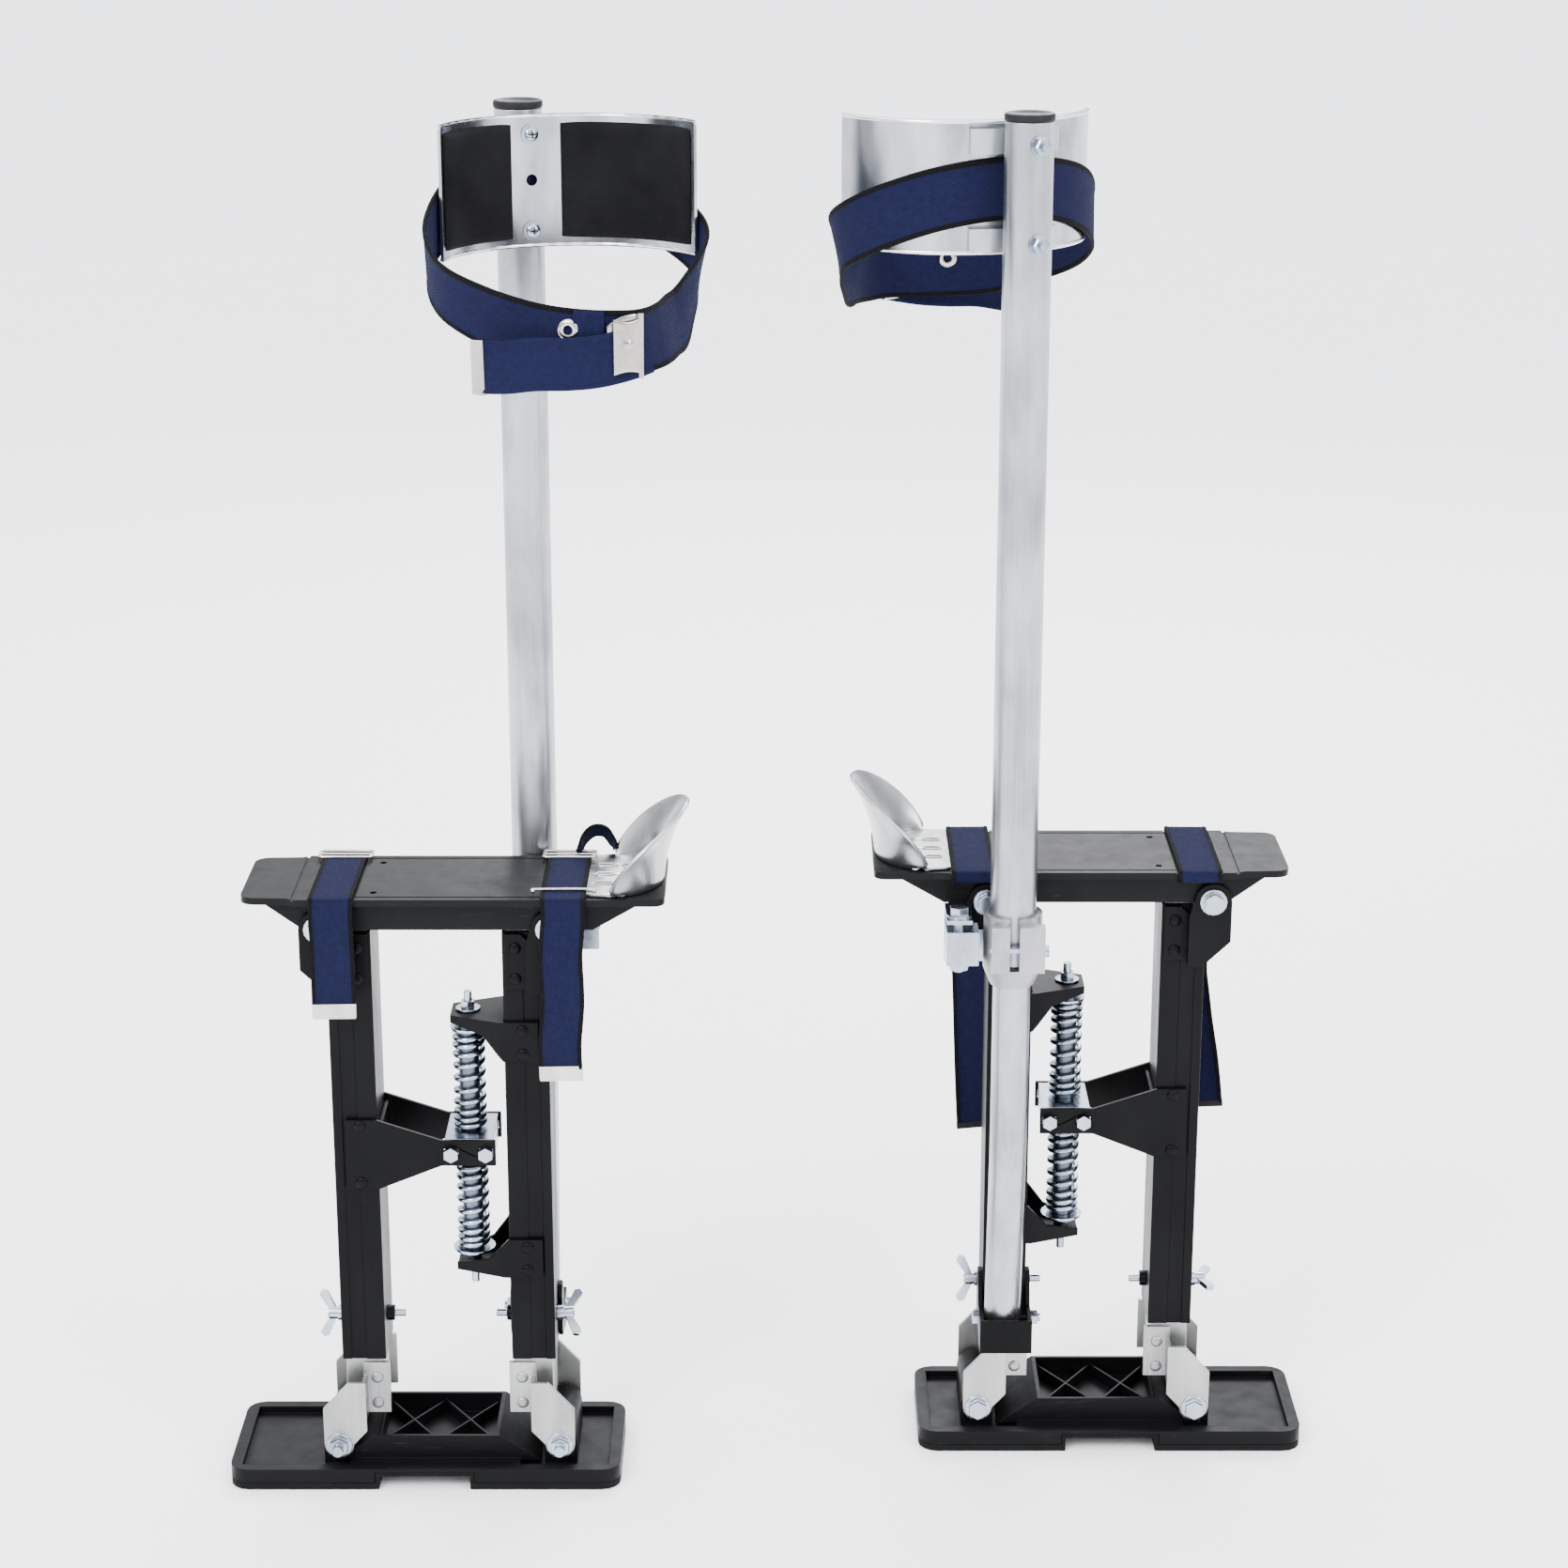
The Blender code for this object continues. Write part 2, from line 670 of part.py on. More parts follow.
def centre_spring_bracket():
    """Two plates on the front upright's sides that reach back to the spring block."""
    inner = POST_D / 2 + GAP
    left = SPRING_X - BLOCK_HALF_X - 0.002
    right = SPRING_X + BLOCK_HALF_X + 0.002
    outline = [
        (left, BLOCK_Z - 0.0098),
        (right, BLOCK_Z - 0.0098),
        (0.047, 0.228),
        (0.069, 0.228),
        (0.069, 0.282),
        (0.047, 0.282),
        (right, BLOCK_Z + 0.0098),
        (left, BLOCK_Z + 0.0098),
    ]
    plates = [
        side_slab(outline, -inner - PLATE, -inner),
        side_slab(outline, inner, inner + PLATE),
    ]
    face = POST_X - POST_W / 2 - GAP
    web = box((face - PLATE, -inner - 0.001, 0.2325), (face, inner + 0.001, 0.2775))
    bracket = joined(web, *plates)
    slots = [
        box((x - 0.0053, -0.05, BLOCK_Z - 0.0034), (x + 0.0053, 0.05, BLOCK_Z + 0.0034))
        for x in (SPRING_X - BLOCK_BOLT_X, SPRING_X + BLOCK_BOLT_X)
    ]
    return cut(bracket, *slots)


def spring_bracket(upper):
    """A channel on the rear upright that narrows to the rod: web outermost, sides cut aslant."""
    flip = 1 if upper else -1
    face_z = BRACKET_HIGH if upper else BRACKET_LOW
    inner_z = face_z - flip * BRACKET_DEPTH
    post_face = -POST_X + POST_W / 2
    tip = SPRING_X + 0.012

    def between(a, b):
        return (min(a, b), max(a, b))

    outer = [(-0.071, -BRACKET_Y), (-0.043, -BRACKET_Y), (tip, -0.013)]
    outer += [(x, -y) for x, y in reversed(outer)]
    channel = flat_slab(outer, *between(face_z, inner_z))
    hollow = [(-0.080, -POST_D / 2 - GAP), (-0.0436, -POST_D / 2 - GAP), (tip + 0.003, -0.0088)]
    hollow += [(x, -y) for x, y in reversed(hollow)]
    low, high = between(face_z - flip * PLATE, inner_z - flip * 0.01)
    post = box(
        (-0.085, -POST_D / 2 - GAP, 0.0), (post_face + GAP, POST_D / 2 + GAP, 0.5)
    )
    slant = [
        (-0.046, inner_z - flip * 0.0002),
        (-0.031, face_z - flip * 0.012),
        (tip + 0.002, face_z - flip * 0.005),
        (tip + 0.002, inner_z - flip * 0.02),
        (-0.046, inner_z - flip * 0.02),
    ]
    return cut(
        channel,
        flat_slab(hollow, low, high),
        post,
        side_slab(slant, -0.04, 0.04),
        rod((SPRING_X, 0, face_z - 0.01), (SPRING_X, 0, face_z + 0.01), ROD_R + 0.0004, 12),
    )


# Calf pole ---------------------------------------------------------------------------


def strut_path():
    """From the foot bracket out to the vertical line of the pole, with one soft bend."""
    points = []
    lean = (STRUT_FOOT_Y - POLE_Y) / (STRUT_BEND_Z - STRUT_LOW)
    soft = 0.022
    for z in (STRUT_LOW, 0.140, 0.180, 0.210, 0.228, 0.240, 0.250, 0.260, 0.272, 0.290, 0.40, STRUT_HIGH):
        straight = (STRUT_BEND_Z - z) * lean
        eased = 0.5 * (straight + math.sqrt(straight**2 + (soft * lean) ** 2))
        points.append((POLE_X, POLE_Y + eased, z))
    return points


def pole_lower_tube():
    tube = wire(strut_path(), STRUT_R, 4)
    y = strut_y(FOOT_BOLT_Z)
    return cut(tube, rod((POLE_X - 0.03, y, FOOT_BOLT_Z), (POLE_X + 0.03, y, FOOT_BOLT_Z), 0.0034, 10))


def strut_y(z):
    """The strut's Y at a height on its straight lower stretch."""
    (_, y0, z0), (_, y1, z1) = strut_path()[:2]
    return y0 + (y1 - y0) * (z - z0) / (z1 - z0)


def pole_foot_bracket():
    """The U at the foot of the strut: ears on the upright's two faces, bolted through the strut."""
    low_x = -POST_X - POST_W / 2 - GAP - PLATE
    high_x = -POST_X + POST_W / 2 + GAP + PLATE
    front = -0.0605
    ear = [(front + 0.001, 0.0835), (-0.014, 0.092), (-0.008, 0.100), (-0.008, 0.126)]
    ear += [(-0.014, 0.133), (-0.022, 0.133), (-0.032, 0.1095), (front + 0.001, 0.1095)]
    ears = []
    for low in (low_x, high_x - PLATE):
        turned_out = Matrix.Translation((low + PLATE / 2, 0, 0)) @ Matrix.Rotation(math.pi / 2, 4, "Z")
        stood_up = turned_out @ Matrix.Rotation(math.pi / 2, 4, "X")
        ears.append(slab([(y, z) for y, z in ear], PLATE, stood_up))
    base = box((low_x, front, 0.0835), (high_x, front + PLATE, 0.1095))
    y = strut_y(FOOT_BOLT_Z)
    bolt = [
        rod((low_x - 0.005, y, FOOT_BOLT_Z), (high_x + 0.007, y, FOOT_BOLT_Z), 0.003, 10),
        rod((low_x - 0.0045, y, FOOT_BOLT_Z), (low_x + 0.0005, y, FOOT_BOLT_Z), 0.0058, 6),
        rod((high_x - 0.0005, y, FOOT_BOLT_Z), (high_x + 0.0050, y, FOOT_BOLT_Z), 0.0058, 6),
    ]
    return joined(base, *ears, *bolt)


def pole_collar():
    """The split clamp that grips the foot of the upper tube and sits on the strut."""
    bore = POLE_R + GAP
    neck = STRUT_R + GAP
    step_z = POLE_LOW - 0.001
    collar = turned(
        [
            (COLLAR_R, COLLAR_HIGH),
            (COLLAR_R, 0.394),
            (0.0158, COLLAR_LOW),
            (neck, COLLAR_LOW),
            (neck, step_z),
            (bore, step_z),
            (bore, COLLAR_HIGH),
        ],
        POLE_X,
        POLE_Y,
    )
    lug_low, lug_high = POLE_Y - 0.027, POLE_Y - 0.0175
    lug = box((POLE_X - 0.0165, lug_low, 0.3975), (POLE_X + 0.0215, lug_high, 0.4315))
    collar = joined(collar, lug)
    slot = box((POLE_X - 0.0035, POLE_Y - 0.03, 0.3965), (POLE_X + 0.0035, POLE_Y - 0.012, 0.44))
    collar = cut(collar, slot)
    y = POLE_Y - 0.0225
    screw = rod((POLE_X - 0.0175, y, 0.413), (POLE_X + 0.0225, y, 0.413), 0.0022, 10)
    head = rod((POLE_X + 0.0205, y, 0.413), (POLE_X + 0.0245, y, 0.413), 0.0042, 12)
    return joined(collar, screw, head)


def swivel_bracket():
    """The zinc angle beside the rear pivot, with the block and the bolt that steady the collar."""
    plate_y = -YOKE_Y - GAP
    outline = [(-0.112, 0.388), (-0.0705, 0.388), (-0.0705, 0.412), (-0.0935, 0.412)]
    outline += [(-0.0935, 0.4315), (-0.112, 0.4315)]
    bolt_y = POLE_Y
    bolt_x = -0.1027
    arm = box((-0.112, -0.081, 0.4285), (-0.0937, plate_y - 0.0002, 0.4315))
    block = box((-0.112, -0.081, 0.3975), (-0.0890, -0.059, 0.4225))
    return joined(
        side_slab(outline, plate_y - PLATE, plate_y),
        arm,
        block,
        rod((bolt_x, bolt_y, 0.390), (bolt_x, bolt_y, 0.4345), 0.004, 10),
        rod((bolt_x, bolt_y, 0.4312), (bolt_x, bolt_y, 0.4330), 0.0090, 16),
        rod((bolt_x, bolt_y, 0.4325), (bolt_x, bolt_y, 0.4385), 0.0072, 6),
        rod((bolt_x, bolt_y, 0.3915), (bolt_x, bolt_y, 0.3978), 0.0072, 6, 0.0085),
    )


def pole_upper_tube():
    return turned(
        [
            (POLE_R, POLE_HIGH),
            (POLE_R, POLE_LOW),
            (POLE_BORE, POLE_LOW),
            (POLE_BORE, POLE_HIGH),
        ],
        POLE_X,
        POLE_Y,
    )


# Calf band ---------------------------------------------------------------------------


def ring_point(angle, radius, z):
    return Vector((BAND_X + radius * math.cos(angle), BAND_Y + radius * math.sin(angle), z))


def ring_rows(radius, start, end, count, low, high):
    rows = []
    for i in range(count + 1):
        angle = start + (end - start) * i / count
        rows.append([ring_point(angle, radius, low), ring_point(angle, radius, high)])
    return rows


def leg_band():
    """The curved aluminium band with the two spacer tabs that stand it off the pole."""
    band = sheet(ring_rows(BAND_R - BAND_T / 2, BAND_START, BAND_END, 20, BAND_LOW, BAND_HIGH), BAND_T)
    tabs = []
    half = math.radians(19)
    thick = BAND_STANDOFF - GAP + 0.0008
    radius = BAND_R - 0.0008 + thick / 2
    for low, high in ((0.9655, 0.9825), (0.9000, 0.9160)):
        tabs.append(sheet(ring_rows(radius, BAND_BOLT - half, BAND_BOLT + half, 6, low, high), thick))
    band = joined(band, *tabs)
    pole = rod((POLE_X, POLE_Y, 0.8), (POLE_X, POLE_Y, 1.1), POLE_R + GAP, 24)
    middle = 0.943
    hole = rod(ring_point(BAND_BOLT, 0.085, middle), ring_point(BAND_BOLT, 0.0935, middle), 0.004, 10)
    return cut(band, pole, hole)


def leg_pad():
    """Two foam pads on the band's inside, on one thin backing strip."""
    low, high = BAND_LOW + 0.006, BAND_HIGH - 0.006
    outer = BAND_R - BAND_T - GAP
    backing = 0.0008
    strip_low, strip_high = 0.922, 0.935
    start, end = BAND_START + math.radians(2), BAND_END - math.radians(2)
    strip = sheet(ring_rows(outer - backing / 2, start, end, 20, strip_low, strip_high), backing)
    foam = 0.004
    pads = []
    for first, last, count in ((start, BAND_BOLT - 0.22, 9), (BAND_BOLT + 0.16, end, 7)):
        rows = ring_rows(outer - backing * 0.4 - foam / 2, first, last, count, low, high)
        pads.append(sheet(rows, foam))
    return joined(strip, *pads)


def strap_height(angle):
    """The calf strap lies in a tilted ring: highest at the pole, lowest across the shin."""
    return STRAP_MID_Z + STRAP_TILT * math.cos(angle - BAND_BOLT)


def leg_strap():
    rows = []
    count = 30
    for i in range(count):
        angle = 2 * math.pi * i / count
        middle = strap_height(angle)
        rows.append(
            [
                ring_point(angle, STRAP_R, middle - STRAP_W / 2),
                ring_point(angle, STRAP_R, middle + STRAP_W / 2),
            ]
        )
    return sheet(rows, STRAP_T, closed=True)


def buckle_lever():
    """The cam lever of the calf strap's buckle, hinged along one long edge."""
    radius = STRAP_R + STRAP_T / 2 + 0.0030
    middle = strap_height(BUCKLE_ANGLE)
    half_w = STRAP_W / 2 + 0.004
    turn = math.radians(11)
    lever = sheet(
        ring_rows(radius, BUCKLE_ANGLE - turn, BUCKLE_ANGLE, 3, middle - half_w, middle + half_w),
        0.0018,
    )
    pin = rod(
        ring_point(BUCKLE_ANGLE, radius, middle - half_w - 0.003),
        ring_point(BUCKLE_ANGLE, radius, middle + half_w + 0.003),
        0.0020,
        10,
    )
    return joined(lever, pin)


# Foot straps -------------------------------------------------------------------------


def foot_strap(x, tail_low, drift):
    """Webbing from under the plate's outer edge, over its top and down the inner side."""
    top = FOOT_TOP + GAP + 0.0009
    edge = FOOT_HALF_Y + 0.0014
    under = FOOT_TOP - FOOT_T - 0.0015
    path = [(-0.040, under), (-edge + 0.001, under), (-edge, under + 0.001), (-edge, top - 0.001)]
    path += [(-edge + 0.001, top), (0.0, top), (edge - 0.001, top), (edge + 0.0005, top - 0.001)]
    rows = [
        [Vector((x - FOOT_STRAP_W / 2, y, z)), Vector((x + FOOT_STRAP_W / 2, y, z))]
        for y, z in path
    ]
    start = top - 0.002
    steps = 6
    for i in range(1, steps + 1):
        share = i / steps
        z = start + (tail_low - start) * share
        middle = x + drift * math.sin(share * math.pi / 2)
        y = edge + 0.0008 + 0.004 * math.sin(share * math.pi)
        rows.append(
            [Vector((middle - FOOT_STRAP_W / 2, y, z)), Vector((middle + FOOT_STRAP_W / 2, y, z))]
        )
    return sheet(rows, 0.0018)


# Putting the pair together -----------------------------------------------------------


def material(name, colour, roughness, metallic):
    made = bpy.data.materials.new(name)
    made.use_nodes = True
    shader = made.node_tree.nodes["Principled BSDF"]
    shader.inputs["Base Color"].default_value = (*colour, 1)
    shader.inputs["Roughness"].default_value = roughness
    shader.inputs["Metallic"].default_value = metallic
    return made


def empty(name, place, parent=None):
    made = bpy.data.objects.new(name, None)
    made.empty_display_size = 0.03
    made.location = place
    if parent is not None:
        made.parent = parent
    STILTS.objects.link(made)
    return made


PIVOTS = {
    "sole": (0, 0, 0),
    "front_leg": (PIVOT_X, 0, SOLE_PIVOT_Z),
    "rear_leg": (-PIVOT_X, 0, SOLE_PIVOT_Z),
    "front_post": (PIVOT_X, 0, TOP_PIVOT_Z),
    "front_wing": (POST_X, 0, HOLE_LOW_Z),
    "rear_wing": (-POST_X, 0, HOLE_LOW_Z),
    "spring": (SPRING_X, 0, BLOCK_Z),
    "pole": (POLE_X, POLE_Y, COLLAR_LOW),
    "buckle": tuple(ring_point(BUCKLE_ANGLE, STRAP_R + STRAP_T / 2 + 0.0030, 0.85)),
}

FINISHES = {
    "black_plastic": ((0.020, 0.020, 0.022), 0.55, 0.0),
    "rubber": ((0.012, 0.012, 0.012), 0.85, 0.0),
    "black_paint": ((0.015, 0.015, 0.016), 0.42, 0.0),
    "aluminium": ((0.80, 0.81, 0.82), 0.32, 1.0),
    "cast_aluminium": ((0.72, 0.73, 0.74), 0.45, 1.0),
    "zinc": ((0.66, 0.70, 0.74), 0.25, 1.0),
    "nickel": ((0.76, 0.73, 0.70), 0.22, 1.0),
    "foam": ((0.014, 0.014, 0.015), 0.90, 0.0),
    "webbing": ((0.020, 0.030, 0.16), 0.85, 0.0),
}


def shared_pieces():
    """Every piece that is the same on both stilts: name, shape, finish and joint."""
    return (
        ("sole_frame", sole_frame(), "black_plastic", "sole"),
        ("outsole", outsole(), "rubber", "sole"),
        ("front_inner_leg", inner_leg(1), "aluminium", "front_leg"),
        ("rear_inner_leg", inner_leg(-1), "aluminium", "rear_leg"),
        ("front_upright", upright(1), "black_paint", "front_leg"),
        ("rear_upright", upright(-1), "black_paint", "rear_leg"),
        ("front_top_bracket", top_bracket(1), "black_paint", "front_leg"),
        ("rear_top_bracket", top_bracket(-1), "black_paint", "rear_leg"),
        ("foot_plate", foot_plate(), "black_plastic", "front_post"),
        ("heel_cup", heel_cup(), "aluminium", "front_post"),
        ("spring_rod", spring_rod(), "zinc", "rear_leg"),
        ("upper_spring", spring(BLOCK_Z + BLOCK_HALF_Z, SEAT_HIGH), "zinc", "rear_leg"),
        ("lower_spring", spring(SEAT_LOW, BLOCK_Z - BLOCK_HALF_Z), "zinc", "rear_leg"),
        ("spring_block", spring_block(), "zinc", "spring"),
        ("centre_spring_bracket", centre_spring_bracket(), "black_paint", "front_leg"),
        ("upper_spring_bracket", spring_bracket(True), "black_paint", "rear_leg"),
        ("lower_spring_bracket", spring_bracket(False), "black_paint", "rear_leg"),
        ("pole_lower_tube", pole_lower_tube(), "aluminium", "rear_leg"),
        ("pole_foot_bracket", pole_foot_bracket(), "black_paint", "rear_leg"),
        ("pole_collar", pole_collar(), "cast_aluminium", "rear_leg"),
        ("swivel_bracket", swivel_bracket(), "zinc", "rear_leg"),
        ("pole_upper_tube", pole_upper_tube(), "aluminium", "pole"),
        ("leg_band", leg_band(), "aluminium", "pole"),
        ("leg_pad", leg_pad(), "foam", "pole"),
        ("leg_strap", leg_strap(), "webbing", "pole"),
        ("buckle_lever", buckle_lever(), "nickel", "buckle"),
        ("front_wing_bolt", wing_bolt(1), "zinc", "front_wing"),
        ("rear_wing_bolt", wing_bolt(-1), "zinc", "rear_wing"),
    )


def strap_pieces(side):
    """The foot straps, whose loose ends hang differently on the two stilts."""
    toe_low, toe_drift, ankle_low, ankle_drift = {
        "right": (0.236, 0.022, 0.219, 0.012),
        "left": (0.372, 0.0, 0.325, 0.003),
    }[side]
    return (
        ("toe_strap", foot_strap(TOE_STRAP_X, toe_low, toe_drift), "webbing", "front_post"),
        ("ankle_strap", foot_strap(ANKLE_STRAP_X, ankle_low, ankle_drift), "webbing", "front_post"),
    )


# How far each wing bolt is screwed round, from its wings standing up and down.
WING_TURNS = {"right_front_wing": math.radians(90), "left_rear_wing": math.radians(52)}


def build_stilt(side, pieces, finishes):
    turn = 1 if side == "right" else -1
    stilt = empty(f"{side}_stilt", (turn * STILT_X, turn * STILT_Y, 0))
    stilt.rotation_euler.z = 0 if side == "right" else math.pi
    pivots = {name: empty(f"{side}_{name}_pivot", place, stilt) for name, place in PIVOTS.items()}
    for name, pivot in pivots.items():
        pivot.rotation_euler.x = WING_TURNS.get(f"{side}_{name}", 0)
    for name, mesh, finish, pivot in pieces:
        node = bpy.data.objects.new(f"{side}_{name}", mesh)
        node.parent = pivots[pivot]
        node.location = -Vector(PIVOTS[pivot])
        STILTS.objects.link(node)
        mesh.materials.clear()
        mesh.materials.append(finishes[finish])


def finished(pieces):
    """Takes each helper's mesh, shades it smooth up to its edges, and drops the helper."""
    meshes = []
    for name, helper, finish, pivot in pieces:
        mesh = helper.data
        mesh.name = name
        bpy.data.objects.remove(helper)
        mesh.shade_smooth()
        mesh.set_sharp_from_angle(angle=math.radians(35))
        meshes.append((name, mesh, finish, pivot))
    return meshes


clear_scene()
STILTS = collection_named("drywall_stilts")
CUTTERS = collection_named("cutters")
CUTTERS.hide_render = True

FINISH_MATERIALS = {name: material(name, *values) for name, values in FINISHES.items()}
SHARED = finished(shared_pieces())
for STILT in ("right", "left"):
    build_stilt(STILT, [*SHARED, *finished(strap_pieces(STILT))], FINISH_MATERIALS)
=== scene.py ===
"""Dresses a pair of drywall stilts: moulded and painted parts, bright fasteners, straps, pads and a studio.

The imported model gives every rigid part. Here each one is copied, its seams are welded, its edges are
eased and it gets a finish of its own, and the soft and fine pieces are made new: webbing, foam pads,
coil springs, rivets, screws, buckles and strap tips. Metres, +Z up. A piece is drawn in its stilt's own
frame, toe towards +X and outer side towards -Y, and is then placed on the right or the left stilt.
"""

import json
import logging
import math
from dataclasses import dataclass, field
from enum import Enum
from typing import Any, Callable, Iterable, Optional, Sequence

import bmesh
import bpy
from mathutils import Matrix, Vector

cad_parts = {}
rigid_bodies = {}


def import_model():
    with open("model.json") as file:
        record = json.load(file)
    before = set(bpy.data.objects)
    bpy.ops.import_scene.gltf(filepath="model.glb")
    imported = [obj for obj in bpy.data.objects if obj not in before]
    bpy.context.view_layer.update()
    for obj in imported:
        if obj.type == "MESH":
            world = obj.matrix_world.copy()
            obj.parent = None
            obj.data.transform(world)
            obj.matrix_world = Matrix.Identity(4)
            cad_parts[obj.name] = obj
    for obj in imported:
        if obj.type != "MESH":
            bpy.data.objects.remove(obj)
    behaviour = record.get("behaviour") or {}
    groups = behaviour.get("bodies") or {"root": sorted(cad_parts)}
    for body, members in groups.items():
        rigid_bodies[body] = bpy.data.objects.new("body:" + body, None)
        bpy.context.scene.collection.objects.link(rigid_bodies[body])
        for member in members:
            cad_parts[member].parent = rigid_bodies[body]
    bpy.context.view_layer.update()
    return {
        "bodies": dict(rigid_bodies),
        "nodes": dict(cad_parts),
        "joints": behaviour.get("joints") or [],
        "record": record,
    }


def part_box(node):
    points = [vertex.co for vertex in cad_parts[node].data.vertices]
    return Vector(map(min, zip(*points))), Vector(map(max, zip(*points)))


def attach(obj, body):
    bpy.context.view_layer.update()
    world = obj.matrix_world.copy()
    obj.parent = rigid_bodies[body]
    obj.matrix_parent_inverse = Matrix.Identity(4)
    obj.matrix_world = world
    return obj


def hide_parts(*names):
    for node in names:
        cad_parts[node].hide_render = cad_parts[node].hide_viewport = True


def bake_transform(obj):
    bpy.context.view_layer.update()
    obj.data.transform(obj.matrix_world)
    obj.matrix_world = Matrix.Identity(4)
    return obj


LOG = logging.getLogger("stilts")

MM = 0.001
HAIR = 0.0002

Colour = tuple[float, float, float]
Pair = tuple[float, float]


class Side(Enum):
    """The two stilts of the pair."""

    RIGHT = "right"
    LEFT = "left"


# Finishes ----------------------------------------------------------------------------


class Graph:
    """One material's node tree, with short ways to add a node and link it."""

    def __init__(self, name: str) -> None:
        """Starts a material with one Principled shader.

        Args:
            name: The material's name.
        """
        self.material = bpy.data.materials.new(name)
        self.material.use_nodes = True
        self.tree = self.material.node_tree
        self.shader = self.tree.nodes["Principled BSDF"]

    def add(self, kind: str, inputs: dict[str, Any], **settings: Any) -> Any:
        """Adds a node and sets or links its inputs.

        Args:
            kind: The node's type name after "ShaderNode".
            inputs: Value or source socket for each input name.
            **settings: Properties set on the node itself.

        Returns:
            The node.
        """
        node = self.tree.nodes.new("ShaderNode" + kind)
        for key, value in settings.items():
            setattr(node, key, value)
        for key, value in inputs.items():
            self.feed(node, key, value)
        return node

    def feed(self, node: Any, key: Any, value: Any) -> None:
        """Links a socket to an input, or stores a plain value on it.

        Args:
            node: The node that owns the input.
            key: The input's name or number.
            value: A socket, a number or a colour.
        """
        if isinstance(value, bpy.types.NodeSocket):
            self.tree.links.new(value, node.inputs[key])
        else:
            node.inputs[key].default_value = value

    def place(self, scale: Sequence[float], source: str = "Object") -> Any:
        """Scaled coordinates that stay with the piece.

        Args:
            scale: Repeats per metre along each axis.
            source: Which output of the coordinate node to read.

        Returns:
            The vector socket.
        """
        coordinate = self.add("TexCoord", {}).outputs[source]
        return self.add("Mapping", {"Vector": coordinate, "Scale": tuple(scale)}).outputs[0]

    def noise(self, scale: Sequence[float], detail: float = 3.0, rough: float = 0.55) -> Any:
        """Soft noise from 0 to 1.

        Args:
            scale: Grains per metre along each axis.
            detail: Octaves of finer noise.
            rough: How strong the finer octaves are.

        Returns:
            The noise's value socket.
        """
        inputs = {"Vector": self.place(scale), "Scale": 1.0, "Detail": detail, "Roughness": rough}
        return self.add("TexNoise", inputs).outputs["Fac"]

    def span(self, value: Any, low: Pair, high: Pair) -> Any:
        """Maps a value from one range to another.

        Args:
            value: The socket to map.
            low: Input and output at the low end.
            high: Input and output at the high end.

        Returns:
            The mapped value socket.
        """
        inputs = {"Value": value, "From Min": low[0], "To Min": low[1]}
        inputs.update({"From Max": high[0], "To Max": high[1]})
        return self.add("MapRange", inputs).outputs["Result"]

    def maths(self, operation: str, first: Any, second: Any = 0.0) -> Any:
        """One step of arithmetic.

        Args:
            operation: The Math node's operation.
            first: The first operand.
            second: The second operand.

        Returns:
            The result's socket.
        """
        node = self.add("Math", {}, operation=operation)
        self.feed(node, 0, first)
        self.feed(node, 1, second)
        return node.outputs[0]

    def mix(self, share: Any, first: Any, second: Any) -> Any:
        """Blends two colours.

        Args:
            share: How much of the second colour shows.
            first: The first colour or its socket.
            second: The second colour or its socket.

        Returns:
            The colour socket.
        """
        node = self.add("Mix", {}, data_type="RGBA")
        self.feed(node, 0, share)
        self.feed(node, 6, (*first, 1.0) if isinstance(first, tuple) else first)
        self.feed(node, 7, (*second, 1.0) if isinstance(second, tuple) else second)
        return node.outputs[2]

    def bump(self, height: Any, strength: float, depth: float, under: Any = None) -> Any:
        """Turns a height into a bent normal.

        Args:
            height: The height socket.
            strength: Share of the effect.
            depth: What a height of 1 stands for, in metres.
            under: A normal to add to.

        Returns:
            The normal socket.
        """
        node = self.add("Bump", {"Height": height, "Strength": strength, "Distance": depth})
        if under is not None:
            self.feed(node, "Normal", under)
        return node.outputs["Normal"]

    def finish(self, colour: Any, roughness: Any, normal: Any, **constants: float) -> bpy.types.Material:
        """Feeds the shader.

        Args:
            colour: Base colour socket.
            roughness: Roughness socket.
            normal: Normal socket.
            **constants: Plain numbers for the shader's other sockets, with _ for each space.

        Returns:
            The finished material.
        """
        self.feed(self.shader, "Base Color", colour)
        self.feed(self.shader, "Roughness", roughness)
        self.feed(self.shader, "Normal", normal)
        for key, value in constants.items():
            self.shader.inputs[key.replace("_", " ").title().replace("Ior", "IOR")].default_value = value
        return self.material


@dataclass(frozen=True)
class Moulded:
    """Injection-moulded plastic or rubber with a fine grain, scuffs and a little dust."""

    name: str
    slot: str
    dark: Colour
    pale: Colour
    gloss: Pair = (0.38, 0.56)
    grain: float = 0.35
    shine: float = 0.08

    def make(self) -> bpy.types.Material:
        """Builds the material."""
        g = Graph(self.name)
        cloud = g.noise((14, 14, 14), 4)
        scratch = g.noise((45, 900, 320), 3, 0.7)
        rub = g.span(scratch, (0.60, 0.0), (0.74, 0.55))
        worn = g.maths("MULTIPLY", rub, g.span(cloud, (0.40, 0.1), (0.65, 1.0)))
        colour = g.mix(worn, self.dark, self.pale)
        roughness = g.span(g.noise((60, 60, 60), 5), (0.3, self.gloss[0]), (0.7, self.gloss[1]))
        grain = g.bump(g.noise((1500, 1500, 1500), 2), self.grain, 0.12 * MM)
        normal = g.bump(cloud, 0.25, 0.9 * MM, grain)
        return g.finish(colour, roughness, normal, specular_ior_level=self.shine)


